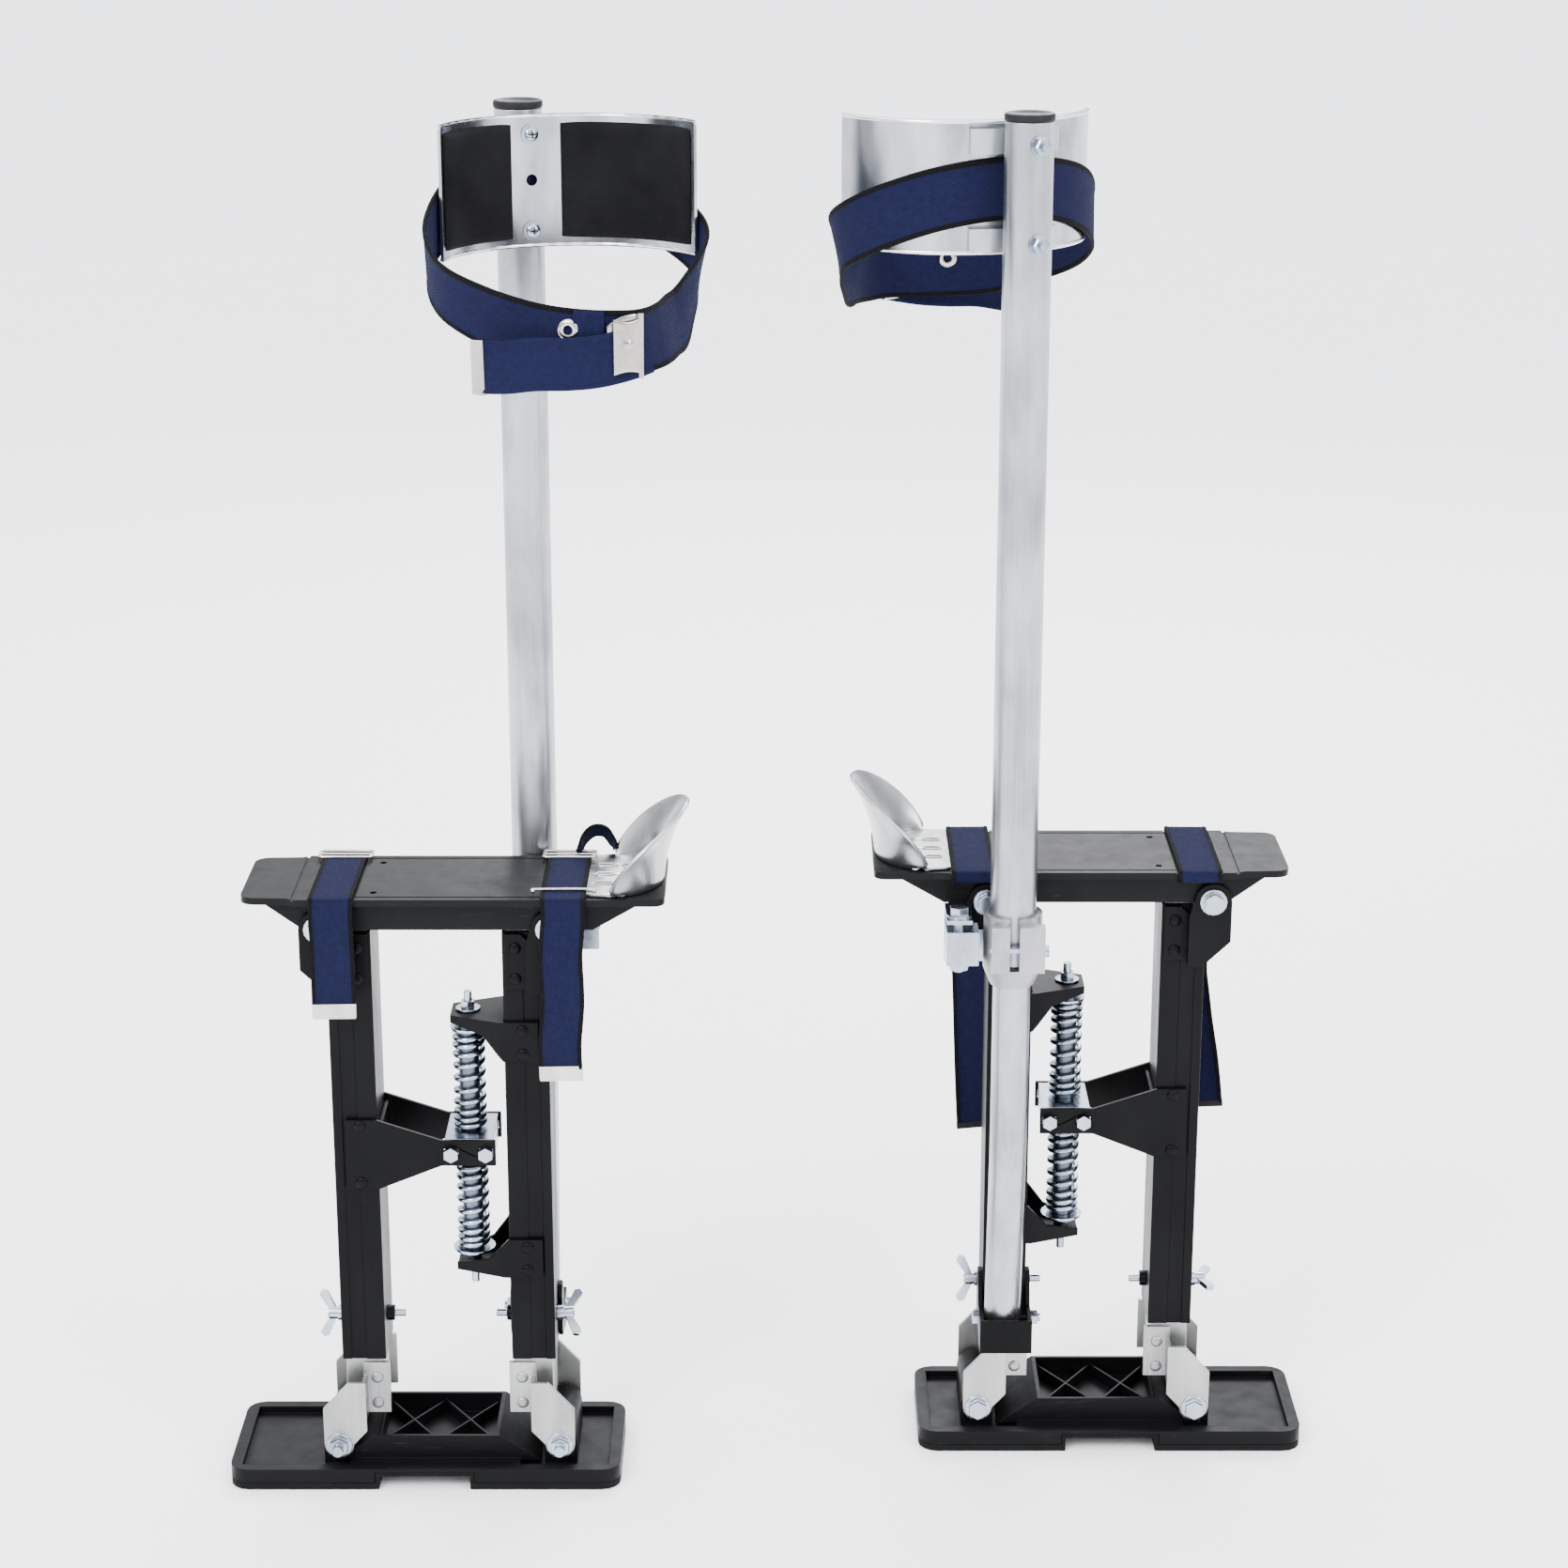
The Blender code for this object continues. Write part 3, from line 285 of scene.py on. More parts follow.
@dataclass(frozen=True)
class Painted:
    """Satin powder coat on steel or aluminium, with orange peel and rubbed places."""

    name: str
    slot: str
    colour: Colour
    rubbed: Colour

    def make(self) -> bpy.types.Material:
        """Builds the material."""
        g = Graph(self.name)
        cloud = g.noise((22, 22, 9), 4)
        fleck = g.noise((420, 420, 420), 2)
        colour = g.mix(g.span(cloud, (0.35, 0.0), (0.75, 0.8)), self.colour, self.rubbed)
        roughness = g.span(cloud, (0.3, 0.30), (0.7, 0.44))
        normal = g.bump(fleck, 0.30, 0.10 * MM)
        return g.finish(colour, roughness, normal, specular_ior_level=0.07)


@dataclass(frozen=True)
class Metal:
    """Bare or plated metal: drawn streaks along one axis, a cloudy darker colour that is partly tone and
    partly painted reflection along the streaks, and fine pits.
    """

    name: str
    slot: str
    colour: Colour
    tint_and_reflection: Colour
    gloss: Pair
    # Repeats per metre of the drawn streaks, which also lay out the painted reflection streaks in the colour.
    drawn: tuple[float, float, float] = (900.0, 900.0, 9.0)
    line_depth: float = 0.03
    pits: float = 0.12

    def make(self) -> bpy.types.Material:
        """Builds the material."""
        g = Graph(self.name)
        lines_and_reflection_streaks = g.noise(self.drawn, 3, 0.6)
        cloud = g.noise((30, 30, 12), 4)
        # Where the darker colour shows: cloudy patches along the streaks, part random tone and part painted
        # reflection.
        tint_and_reflection_patches = g.span(cloud, (0.3, 0.0), (0.7, 1.0))
        share = g.maths("MULTIPLY", tint_and_reflection_patches, g.span(lines_and_reflection_streaks, (0.2, 0.6), (0.8, 1.0)))
        colour = g.mix(share, self.colour, self.tint_and_reflection)
        worn = g.maths("ADD", g.maths("MULTIPLY", lines_and_reflection_streaks, 0.6), g.maths("MULTIPLY", cloud, 0.4))
        roughness = g.span(worn, (0.3, self.gloss[0]), (0.7, self.gloss[1]))
        pitted = g.bump(g.noise((700, 700, 700), 3), self.pits, 0.06 * MM)
        normal = g.bump(lines_and_reflection_streaks, 0.35, self.line_depth * MM, pitted)
        return g.finish(colour, roughness, normal, metallic=1.0)


@dataclass(frozen=True)
class Webbing:
    """Woven strap: ribbed across, twilled along, with a bound edge of another colour."""

    name: str
    slot: str
    yarn: Colour
    shade: Colour
    edge: Colour
    width: float
    binding: float = 3.6 * MM
    rib: float = 1.9 * MM
    thread: float = 1.5 * MM

    def make(self) -> bpy.types.Material:
        """Builds the material from coordinates in metres across and along the strap."""
        g = Graph(self.name)
        place = g.add("TexCoord", {}).outputs["UV"]
        split = g.add("SeparateXYZ", {"Vector": place})
        across, along = split.outputs["X"], split.outputs["Y"]
        warp = g.maths("SINE", g.maths("MULTIPLY", across, 2 * math.pi / self.thread))
        shift = g.maths("MULTIPLY", g.maths("SIGN", warp), math.pi / 2)
        weft = g.maths("SINE", g.maths("ADD", g.maths("MULTIPLY", along, 2 * math.pi / self.rib), shift))
        weave = g.span(g.maths("ADD", g.maths("MULTIPLY", warp, 0.35), weft), (-1.35, 0.0), (1.35, 1.0))
        distance = g.maths("ABSOLUTE", across)
        limit = self.width / 2 - self.binding
        bound = g.span(distance, (limit - 0.15 * MM, 0.0), (limit + 0.15 * MM, 1.0))
        fuzz = g.noise((260, 260, 260), 3)
        lit = g.maths("MULTIPLY", weave, g.span(fuzz, (0.3, 0.55), (0.7, 1.0)))
        cloth = g.mix(lit, self.shade, self.yarn)
        lint = g.mix(g.span(fuzz, (0.55, 0.0), (0.8, 0.35)), self.edge, (0.018, 0.018, 0.021))
        colour = g.mix(bound, cloth, lint)
        roughness = g.span(fuzz, (0.3, 0.72), (0.7, 0.9))
        soft = g.bump(fuzz, 0.3, 0.15 * MM)
        normal = g.bump(weave, 0.9, 0.6 * MM, soft)
        return g.finish(colour, roughness, normal, specular_ior_level=0.06)


@dataclass(frozen=True)
class Foam:
    """Closed-cell foam with a fine knitted face."""

    name: str
    slot: str
    dark: Colour
    pale: Colour

    def make(self) -> bpy.types.Material:
        """Builds the material."""
        g = Graph(self.name)
        cell = g.add("TexVoronoi", {"Vector": g.place((900, 900, 900)), "Scale": 1.0}).outputs["Distance"]
        cloud = g.noise((18, 18, 18), 4)
        colour = g.mix(g.span(cloud, (0.3, 0.0), (0.7, 1.0)), self.dark, self.pale)
        roughness = g.span(cell, (0.0, 0.8), (0.8, 0.95))
        normal = g.bump(cloud, 0.3, 1.2 * MM, g.bump(cell, 0.5, 0.2 * MM))
        return g.finish(colour, roughness, normal, specular_ior_level=0.06)


@dataclass(frozen=True)
class Studio:
    """The pale floor, the soft lights and the camera."""

    floor_grey: float = 0.93
    sky: Colour = (0.93, 0.95, 1.0)
    sky_strength: float = 4.2
    horizon: float = 0.22
    eye: tuple[float, float, float] = (0.0096, -2.4016, 1.2525)
    look_down: float = 17.94
    focal: float = 80.7
    rise: float = 0.036

    def floor(self) -> None:
        """Lays a large pale floor under the stilts."""
        shape = bmesh.new()
        bmesh.ops.create_grid(shape, x_segments=8, y_segments=8, size=150.0)
        mesh = bpy.data.meshes.new("studio_floor")
        shape.to_mesh(mesh)
        shape.free()
        made = bpy.data.objects.new("studio_floor", mesh)
        made.location.z = -0.0006
        bpy.context.scene.collection.objects.link(made)
        g = Graph("pale_floor")
        grey = self.floor_grey
        colour = g.mix(g.noise((3, 3, 3), 2), (grey, grey, grey), (grey * 1.02, grey * 1.02, grey * 1.02))
        roughness = g.span(g.noise((8, 8, 8), 2), (0.0, 0.75), (1.0, 0.9))
        mesh.materials.append(g.finish(colour, roughness, g.bump(g.noise((50, 50, 50)), 0.02, 0.1 * MM)))

    def lights(self) -> None:
        """Sets a sky that is bright overhead and darker at its rim, and three large soft lamps."""
        world = bpy.data.worlds.new("studio_sky")
        world.use_nodes = True
        tree = world.node_tree
        background = tree.nodes["Background"]
        background.inputs["Color"].default_value = (*self.sky, 1.0)
        place = tree.nodes.new("ShaderNodeTexCoord")
        split = tree.nodes.new("ShaderNodeSeparateXYZ")
        ramp = tree.nodes.new("ShaderNodeMapRange")
        ramp.inputs["From Min"].default_value = 0.15
        ramp.inputs["From Max"].default_value = 0.60
        ramp.inputs["To Min"].default_value = self.sky_strength * self.horizon
        ramp.inputs["To Max"].default_value = self.sky_strength
        tree.links.new(place.outputs["Generated"], split.inputs["Vector"])
        tree.links.new(split.outputs["Z"], ramp.inputs["Value"])
        tree.links.new(ramp.outputs["Result"], background.inputs["Strength"])
        bpy.context.scene.world = world
        lamps = (
            ("key_lamp", (-1.6, -2.4, 2.6), 120.0, 1.2),
            ("fill_lamp", (2.2, -1.8, 1.8), 45.0, 1.2),
            ("back_lamp", (0.4, 2.6, 2.4), 90.0, 1.6),
        )
        for name, place, power, size in lamps:
            lamp = bpy.data.lights.new(name, "AREA")
            lamp.energy = power
            lamp.size = size
            made = bpy.data.objects.new(name, lamp)
            made.location = place
            aim = Vector((0.0, 0.0, 0.5)) - Vector(place)
            made.rotation_euler = aim.to_track_quat("-Z", "Y").to_euler()
            bpy.context.scene.collection.objects.link(made)

    def camera(self) -> None:
        """Stands the camera at eye height, looking a little down on the pair."""
        lens = bpy.data.cameras.new("studio_camera")
        lens.lens = self.focal
        lens.shift_y = self.rise
        made = bpy.data.objects.new("studio_camera", lens)
        made.location = self.eye
        made.rotation_euler = (math.radians(90 - self.look_down), 0.0, 0.0)
        bpy.context.scene.collection.objects.link(made)
        bpy.context.scene.camera = made


# Shapes ------------------------------------------------------------------------------


def blended(points: Sequence[Sequence[float]], steps: int) -> list[Vector]:
    """A smooth curve through points.

    Args:
        points: Points of any size, in order.
        steps: Stretches between each pair of points.

    Returns:
        Points along the curve, both ends included.
    """
    nodes = [Vector(point) for point in points]
    nodes = [2 * nodes[0] - nodes[1], *nodes, 2 * nodes[-1] - nodes[-2]]
    curve = []
    for a, b, c, d in zip(nodes, nodes[1:], nodes[2:], nodes[3:]):
        for i in range(steps):
            t = i / steps
            bend = (2 * a - 5 * b + 4 * c - d) * t**2 + (3 * b - a - 3 * c + d) * t**3
            curve.append(0.5 * (2 * b + (c - a) * t + bend))
    return [*curve, nodes[-2]]


def polygon(radius: float, sides: int) -> list[Pair]:
    """A round cross-section.

    Args:
        radius: Its radius.
        sides: How many corners it has.

    Returns:
        Its corners.
    """
    return [
        (radius * math.cos(2 * math.pi * i / sides), radius * math.sin(2 * math.pi * i / sides))
        for i in range(sides)
    ]


def strap_section(width: float, thick: float, binding: float) -> list[Pair]:
    """The cross-section of bound webbing: thin in the middle, thicker and rounded at its edges.

    Args:
        width: From edge to edge.
        thick: Thickness of the cloth between the bindings.
        binding: Width of each bound edge.

    Returns:
        Points round the section, across first and height second.
    """
    half = width / 2
    cloth = thick / 2
    edge = cloth + 0.35 * MM
    inner = half - binding
    top = [(half, 0.0), (half - 0.15 * MM, 0.7 * edge), (half - 0.7 * MM, edge), (inner + 0.5 * MM, edge)]
    top += [(inner, cloth), (inner * 0.5, cloth), (0.0, cloth)]
    top += [(-x, y) for x, y in reversed(top[:-1])]
    return top + [(x, -y) for x, y in reversed(top[1:-1])]


class Shape:
    """A mesh that is put together from swept, turned and bent pieces."""

    def __init__(self) -> None:
        """Starts empty."""
        self.mesh = bmesh.new()
        self.places: dict[Any, Pair] = {}

    def sweep(
        self,
        centres: Sequence[Vector],
        across: Sequence[Vector],
        up: Sequence[Vector],
        section: Sequence[Pair],
        closed: bool = False,
    ) -> None:
        """Carries a cross-section along a path.

        Args:
            centres: Points of the path.
            across: The section's first axis at each point.
            up: Its second axis at each point.
            section: Corners of the section.
            closed: Whether the path runs back into its start.
        """
        along = 0.0
        rows = []
        for i, (centre, side, rise) in enumerate(zip(centres, across, up)):
            along += (centre - centres[i - 1]).length if i else 0.0
            row = [self.mesh.verts.new(centre + side * a + rise * b) for a, b in section]
            self.places.update({corner: (a, along) for corner, (a, _) in zip(row, section)})
            rows.append(row)
        count = len(section)
        pairs = list(zip(rows, rows[1:])) + ([(rows[-1], rows[0])] if closed else [])
        for here, there in pairs:
            for j in range(count):
                k = (j + 1) % count
                self.mesh.faces.new((here[j], here[k], there[k], there[j]))
        if not closed:
            self.mesh.faces.new(rows[0])
            self.mesh.faces.new(list(reversed(rows[-1])))

    def tube(self, path: Sequence[Vector], radius: float, sides: int = 10, closed: bool = False) -> None:
        """A round wire along a path.

        Args:
            path: Points of its middle.
            radius: The wire's radius.
            sides: Corners round it.
            closed: Whether it is a loop.
        """
        count = len(path)
        across, up = [], []
        guide = Vector((0.13, 0.27, 0.95))
        for i, point in enumerate(path):
            after = path[(i + 1) % count] if closed or i + 1 < count else point
            before = path[i - 1] if closed or i else point
            along = (after - before).normalized()
            side = guide - along * guide.dot(along)
            side.normalize()
            guide = side
            across.append(side)
            up.append(along.cross(side))
        self.sweep(path, across, up, polygon(radius, sides), closed)

    def turned(self, profile: Sequence[Pair], origin: Vector, axis: Vector, steps: int = 24) -> None:
        """A turned solid.

        Args:
            profile: Radius and height along the axis, with radius 0 at both ends.
            origin: Where height 0 is.
            axis: The direction of height.
            steps: Stretches round it.
        """
        turn = axis.to_track_quat("Z", "Y").to_matrix()
        rows = []
        for radius, height in profile:
            if radius < 1e-7:
                rows.append([self.mesh.verts.new(origin + turn @ Vector((0, 0, height)))] * steps)
                continue
            ring = [turn @ Vector((x, y, height)) for x, y in polygon(radius, steps)]
            rows.append([self.mesh.verts.new(origin + point) for point in ring])
        for here, there in zip(rows, rows[1:]):
            for j in range(steps):
                k = (j + 1) % steps
                corners = list(dict.fromkeys((here[j], here[k], there[k], there[j])))
                if len(corners) > 2:
                    self.mesh.faces.new(corners)

    def grid(self, rows: Sequence[Sequence[Vector]], closed: bool = False) -> None:
        """An open sheet through rows of points.

        Args:
            rows: The points, row by row.
            closed: Whether the last row joins the first.
        """
        made = [[self.mesh.verts.new(point) for point in row] for row in rows]
        pairs = list(zip(made, made[1:])) + ([(made[-1], made[0])] if closed else [])
        for here, there in pairs:
            for j in range(len(here) - 1):
                self.mesh.faces.new((here[j], there[j], there[j + 1], here[j + 1]))

    def block(self, low: Vector, high: Vector) -> None:
        """A box between two corners.

        Args:
            low: Its lowest corner.
            high: Its highest corner.
        """
        matrix = Matrix.Translation((low + high) / 2) @ Matrix.Diagonal((*(high - low), 1.0))
        bmesh.ops.create_cube(self.mesh, size=1.0, matrix=matrix)

    def written(self, name: str) -> bpy.types.Mesh:
        """Turns the shape into a mesh with its faces pointing out.

        Args:
            name: The mesh's name.

        Returns:
            The mesh.
        """
        bmesh.ops.recalc_face_normals(self.mesh, faces=self.mesh.faces)
        if self.places:
            layer = self.mesh.loops.layers.uv.new("strap")
            for face in self.mesh.faces:
                for loop in face.loops:
                    loop[layer].uv = self.places.get(loop.vert, (0.0, 0.0))
        made = bpy.data.meshes.new(name)
        self.mesh.to_mesh(made)
        self.mesh.free()
        return made


# A stilt and its pieces --------------------------------------------------------------


class Stilt:
    """One of the two stilts: where it stands, and how a piece is put on it."""

    def __init__(self, side: Side, frame: dict[str, Any], finishes: dict[str, Any]) -> None:
        """Finds where the stilt stands from its two sole pivots.

        Args:
            side: Which stilt it is.
            finishes: Finish and material by name.
        """
        self.side = side
        self.frame = frame
        self.finishes = finishes
        self.joints = {joint["name"]: joint for joint in frame["joints"]}
        front = Vector(self.joints[f"{side.value}_front_lean"]["pos_m"])
        rear = Vector(self.joints[f"{side.value}_rear_lean"]["pos_m"])
        middle = (front + rear) / 2
        heading = math.atan2(front.y - rear.y, front.x - rear.x)
        self.matrix = Matrix.Translation((middle.x, middle.y, 0.0)) @ Matrix.Rotation(heading, 4, "Z")
        self.inverse = self.matrix.inverted()

    def name(self, piece: str) -> str:
        """The full name of a node, body or piece of this stilt."""
        return f"{self.side.value}_{piece}"

    def joint_place(self, joint: str) -> Vector:
        """Where a hinge stands in the stilt's own frame."""
        return self.inverse @ Vector(self.joints[self.name(joint)]["pos_m"])

    def box(self, node: str) -> tuple[Vector, Vector]:
        """A part's lowest and highest corners in the stilt's own frame.

        Args:
            node: The part's name without its side.

        Returns:
            The two corners.
        """
        corners = [self.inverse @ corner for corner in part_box(self.name(node))]
        low = Vector(min(a, b) for a, b in zip(*corners))
        high = Vector(max(a, b) for a, b in zip(*corners))
        return low, high

    def put(
        self,
        mesh: bpy.types.Mesh,
        piece: str,
        body: Optional[str],
        finish: str,
        replaces: Iterable[str] = (),
        angle: float = 35.0,
    ) -> bpy.types.Object:
        """Places a finished mesh on the stilt.

        Args:
            mesh: The mesh, in the stilt's own frame.
            piece: The piece's name without its side.
            body: The body that it moves with, or None.
            finish: The name of its finish.
            replaces: The CAD nodes that it stands for, without their side.
            angle: Edges sharper than this stay sharp.

        Returns:
            The new object.
        """
        mesh.transform(self.matrix)
        made = bpy.data.objects.new(self.name(piece), mesh)
        bpy.context.scene.collection.objects.link(made)
        if not mesh.materials:
            mesh.materials.append(self.finishes[finish][1])
        mesh.shade_smooth()
        mesh.set_sharp_from_angle(angle=math.radians(angle))
        nodes = [self.name(node) for node in replaces]
        if nodes:
            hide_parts(*nodes)
        if body is not None:
            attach(made, self.name(body))
        LOG.info("%s: %d faces", made.name, len(mesh.polygons))
        return made


Test = Callable[[Vector], bool]


@dataclass(frozen=True)
class Part:
    """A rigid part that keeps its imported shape, with eased edges and its own finish."""

    node: str
    body: str
    finish: str
    ease: float = 0.5 * MM
    accent: str = ""
    where: Optional[Test] = None

    def build(self, stilt: Stilt) -> None:
        """Welds, eases and dresses a copy of the part.

        Args:
            stilt: The stilt that the part is on.
        """
        source = stilt.frame["nodes"][stilt.name(self.node)].data
        shape = bmesh.new()
        shape.from_mesh(source)
        bmesh.ops.remove_doubles(shape, verts=shape.verts, dist=0.004 * MM)
        shape.normal_update()
        if self.ease > 0:
            sharp = [
                edge
                for edge in shape.edges
                if len(edge.link_faces) == 2 and edge.calc_face_angle(0.0) > math.radians(32)
            ]
            bmesh.ops.bevel(
                shape,
                geom=sharp,
                offset=self.ease,
                offset_type="OFFSET",
                segments=2,
                profile=0.6,
                affect="EDGES",
                clamp_overlap=True,
            )
        mesh = bpy.data.meshes.new(self.node)
        shape.transform(stilt.inverse)
        shape.normal_update()
        mesh.materials.append(stilt.finishes[self.finish][1])
        if self.where is not None:
            mesh.materials.append(stilt.finishes[self.accent][1])
            for face in shape.faces:
                if self.where(face.calc_center_median()):
                    face.material_index = 1
        shape.to_mesh(mesh)
        shape.free()
        made = stilt.put(mesh, self.node + "_body", self.body, self.finish, (self.node,), 40.0)
        smoother = made.modifiers.new("even_normals", "WEIGHTED_NORMAL")
        smoother.keep_sharp = True


@dataclass
class RigidParts:
    """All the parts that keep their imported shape."""

    pivot_reach: float = 10.7 * MM
    stem_reach: float = 3.4 * MM
    head_reach: float = 7.5 * MM
    yoke: float = 41.05 * MM
    stem: float = 4.5 * MM
    thread_out: float = 45.5 * MM
    strut_bolt: Pair = (-41.2 * MM, 104 * MM)
    strut_bolt_ends: Pair = (-82.1 * MM, -42.9 * MM)
    clamp_level: float = 413 * MM

    def near_axis(self, stilt: Stilt, joint: str, reach: float, beyond: float) -> Test:
        """A test for faces of the bolt through a pivot.

        Args:
            stilt: The stilt.
            joint: The hinge that the bolt makes.
            reach: How far from the hinge's line a face of the bolt may be.
            beyond: How far out along Y the bolt's ends begin.

        Returns:
            The test.
        """
        place = stilt.joint_place(joint)

        def test(point: Vector) -> bool:
            """Whether a point belongs to the bolt."""
            off_axis = math.hypot(point.x - place.x, point.z - place.z)
            return abs(point.y) > beyond and off_axis < reach

        return test

    def build(self, stilt: Stilt) -> None:
        """Makes every rigid part of one stilt.

        Args:
            stilt: The stilt.
        """
        front_top = stilt.joint_place("foot_tilt")
        rear_top = Vector((-front_top.x, front_top.y, front_top.z))
        hole = stilt.joint_place("front_wing_turn")
        foot_bolt_y, foot_bolt_z = self.strut_bolt
        collar_low, _ = stilt.box("pole_collar")

        def top_bolt(place: Vector) -> Test:
            """A test for the bolt through a top bracket."""
            return lambda p: math.hypot(p.x - place.x, p.z - place.z) < self.pivot_reach and (
                abs(p.y) > self.yoke or math.hypot(p.x - place.x, p.z - place.z) < self.stem
            )

        def thread_end(p: Vector) -> bool:
            """Whether a point is on the thread that stands out of an upright."""
            return math.hypot(p.y, p.z - hole.z) < self.stem_reach and abs(p.x) < self.thread_out

        def through_strut(p: Vector) -> bool:
            """Whether a point is on the bolt through the foot of the strut."""
            inside = math.hypot(p.y - foot_bolt_y, p.z - foot_bolt_z) < self.head_reach
            return inside and (p.x < self.strut_bolt_ends[0] or p.x > self.strut_bolt_ends[1])

        def clamp_screw(p: Vector) -> bool:
            """Whether a point is on the collar's clamp screw."""
            off = math.hypot(p.y - (collar_low.y + 0.0045), p.z - self.clamp_level)
            return off < 0.0045 and (abs(p.x + 0.0645) < 0.0034 or p.x > -0.0429 or p.x < -0.0811)

        parts = (
            Part("sole_frame", "sole", "moulded", 0.7 * MM),
            Part("outsole", "sole", "tread", 0.6 * MM),
            Part("front_inner_leg", "front_lower", "leg_alloy", 0.4 * MM, "zinc",
                 self.near_axis(stilt, "front_lean", self.pivot_reach, self.yoke)),
            Part("rear_inner_leg", "rear_lower", "leg_alloy", 0.4 * MM, "zinc",
                 self.near_axis(stilt, "rear_lean", self.pivot_reach, self.yoke)),
            Part("front_upright", "front_upper", "paint", 1.0 * MM, "zinc", thread_end),
            Part("rear_upright", "rear_upper", "paint", 1.0 * MM, "zinc", thread_end),
            Part("front_top_bracket", "front_upper", "paint", 0.5 * MM, "zinc", top_bolt(front_top)),
            Part("rear_top_bracket", "rear_upper", "paint", 0.5 * MM, "zinc", top_bolt(rear_top)),
            Part("foot_plate", "foot", "moulded_plate", 0.8 * MM),
            Part("centre_spring_bracket", "front_upper", "paint", 0.5 * MM),
            Part("upper_spring_bracket", "rear_upper", "paint", 0.4 * MM),
            Part("lower_spring_bracket", "rear_upper", "paint", 0.4 * MM),
            Part("spring_rod", "rear_upper", "zinc", 0.3 * MM),
            Part("spring_block", "block", "zinc", 0.4 * MM),
            Part("pole_lower_tube", "rear_upper", "tube_alloy", 0.8 * MM),
            Part("pole_foot_bracket", "rear_upper", "paint", 0.5 * MM, "zinc", through_strut),
            Part("pole_collar", "rear_upper", "cast_alloy", 0.5 * MM, "zinc", clamp_screw),
            Part("swivel_bracket", "rear_upper", "zinc", 0.4 * MM),
            Part("pole_upper_tube", "calf_pole", "tube_alloy", 0.5 * MM),
            Part("leg_band", "calf_pole", "band_alloy", 0.4 * MM),
            Part("front_wing_bolt", "front_wing", "zinc", 0.4 * MM),
            Part("rear_wing_bolt", "rear_wing", "zinc", 0.4 * MM),
        )
        for part in parts:
            part.build(stilt)


@dataclass
class Springs:
    """The two coil springs, with ends that close up, stretched between their seats and the block."""

    turns: int = 10
    wire: float = 2.0 * MM
    closing: float = 0.35
    sleeve_radius: float = 7.6 * MM
    sleeve_bore: float = 6.6 * MM

    def build(self, stilt: Stilt) -> None:
        """Winds both springs of a stilt.

        Args:
            stilt: The stilt.
        """
        for node, fixed_at_top in (("upper_spring", True), ("lower_spring", False)):
            low, high = stilt.box(node)
            x, y = (low.x + high.x) / 2, (low.y + high.y) / 2
            radius = (high.x - low.x) / 2 - self.wire
            start, rise = low.z + self.wire, high.z - low.z - 2 * self.wire
            count = self.turns * 26
            path, across, up = [], [], []
            for i in range(count + 1):
                share = i / count
                height = share - self.closing * math.sin(2 * math.pi * share) / (2 * math.pi)
                angle = 2 * math.pi * self.turns * share
                out = Vector((math.cos(angle), math.sin(angle), 0.0))
                path.append(Vector((x, y, start + rise * height)) + out * radius)
                across.append(out)
                up.append(Vector((0.0, 0.0, 1.0)))
            shape = Shape()
            shape.sweep(path, across, up, polygon(self.wire, 10))
            made = stilt.put(shape.written(node), node + "_coil", None, "zinc", (node,), 60.0)
            self.sleeve(stilt, node, Vector((x, y, 0.0)), low.z, high.z)
            fixed, moving = stilt.name("rear_upper"), stilt.name("block")
            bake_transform(made)


    def sleeve(self, stilt: Stilt, node: str, axis: Vector, low: float, high: float) -> None:
        """The guide sleeve inside a coil.

        Args:
            stilt: The stilt.
            node: The spring's node.
            axis: The spring's axis, at height 0.
            low: The spring's lowest height.
            high: Its highest height.
        """
        shape = Shape()
        wall = [(self.sleeve_bore, 0.0), (self.sleeve_radius, 0.0)]
        profile = [*wall, (self.sleeve_radius, high - low), (self.sleeve_bore, high - low)]
        ring_turned(shape, profile, axis + Vector((0.0, 0.0, low)), Vector((0.0, 0.0, 1.0)), 28)
        made = stilt.put(shape.written(node), node + "_sleeve", None, "zinc_dark", (), 40.0)
        stilt.name("rear_upper")
        stilt.name("block")
        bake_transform(made)


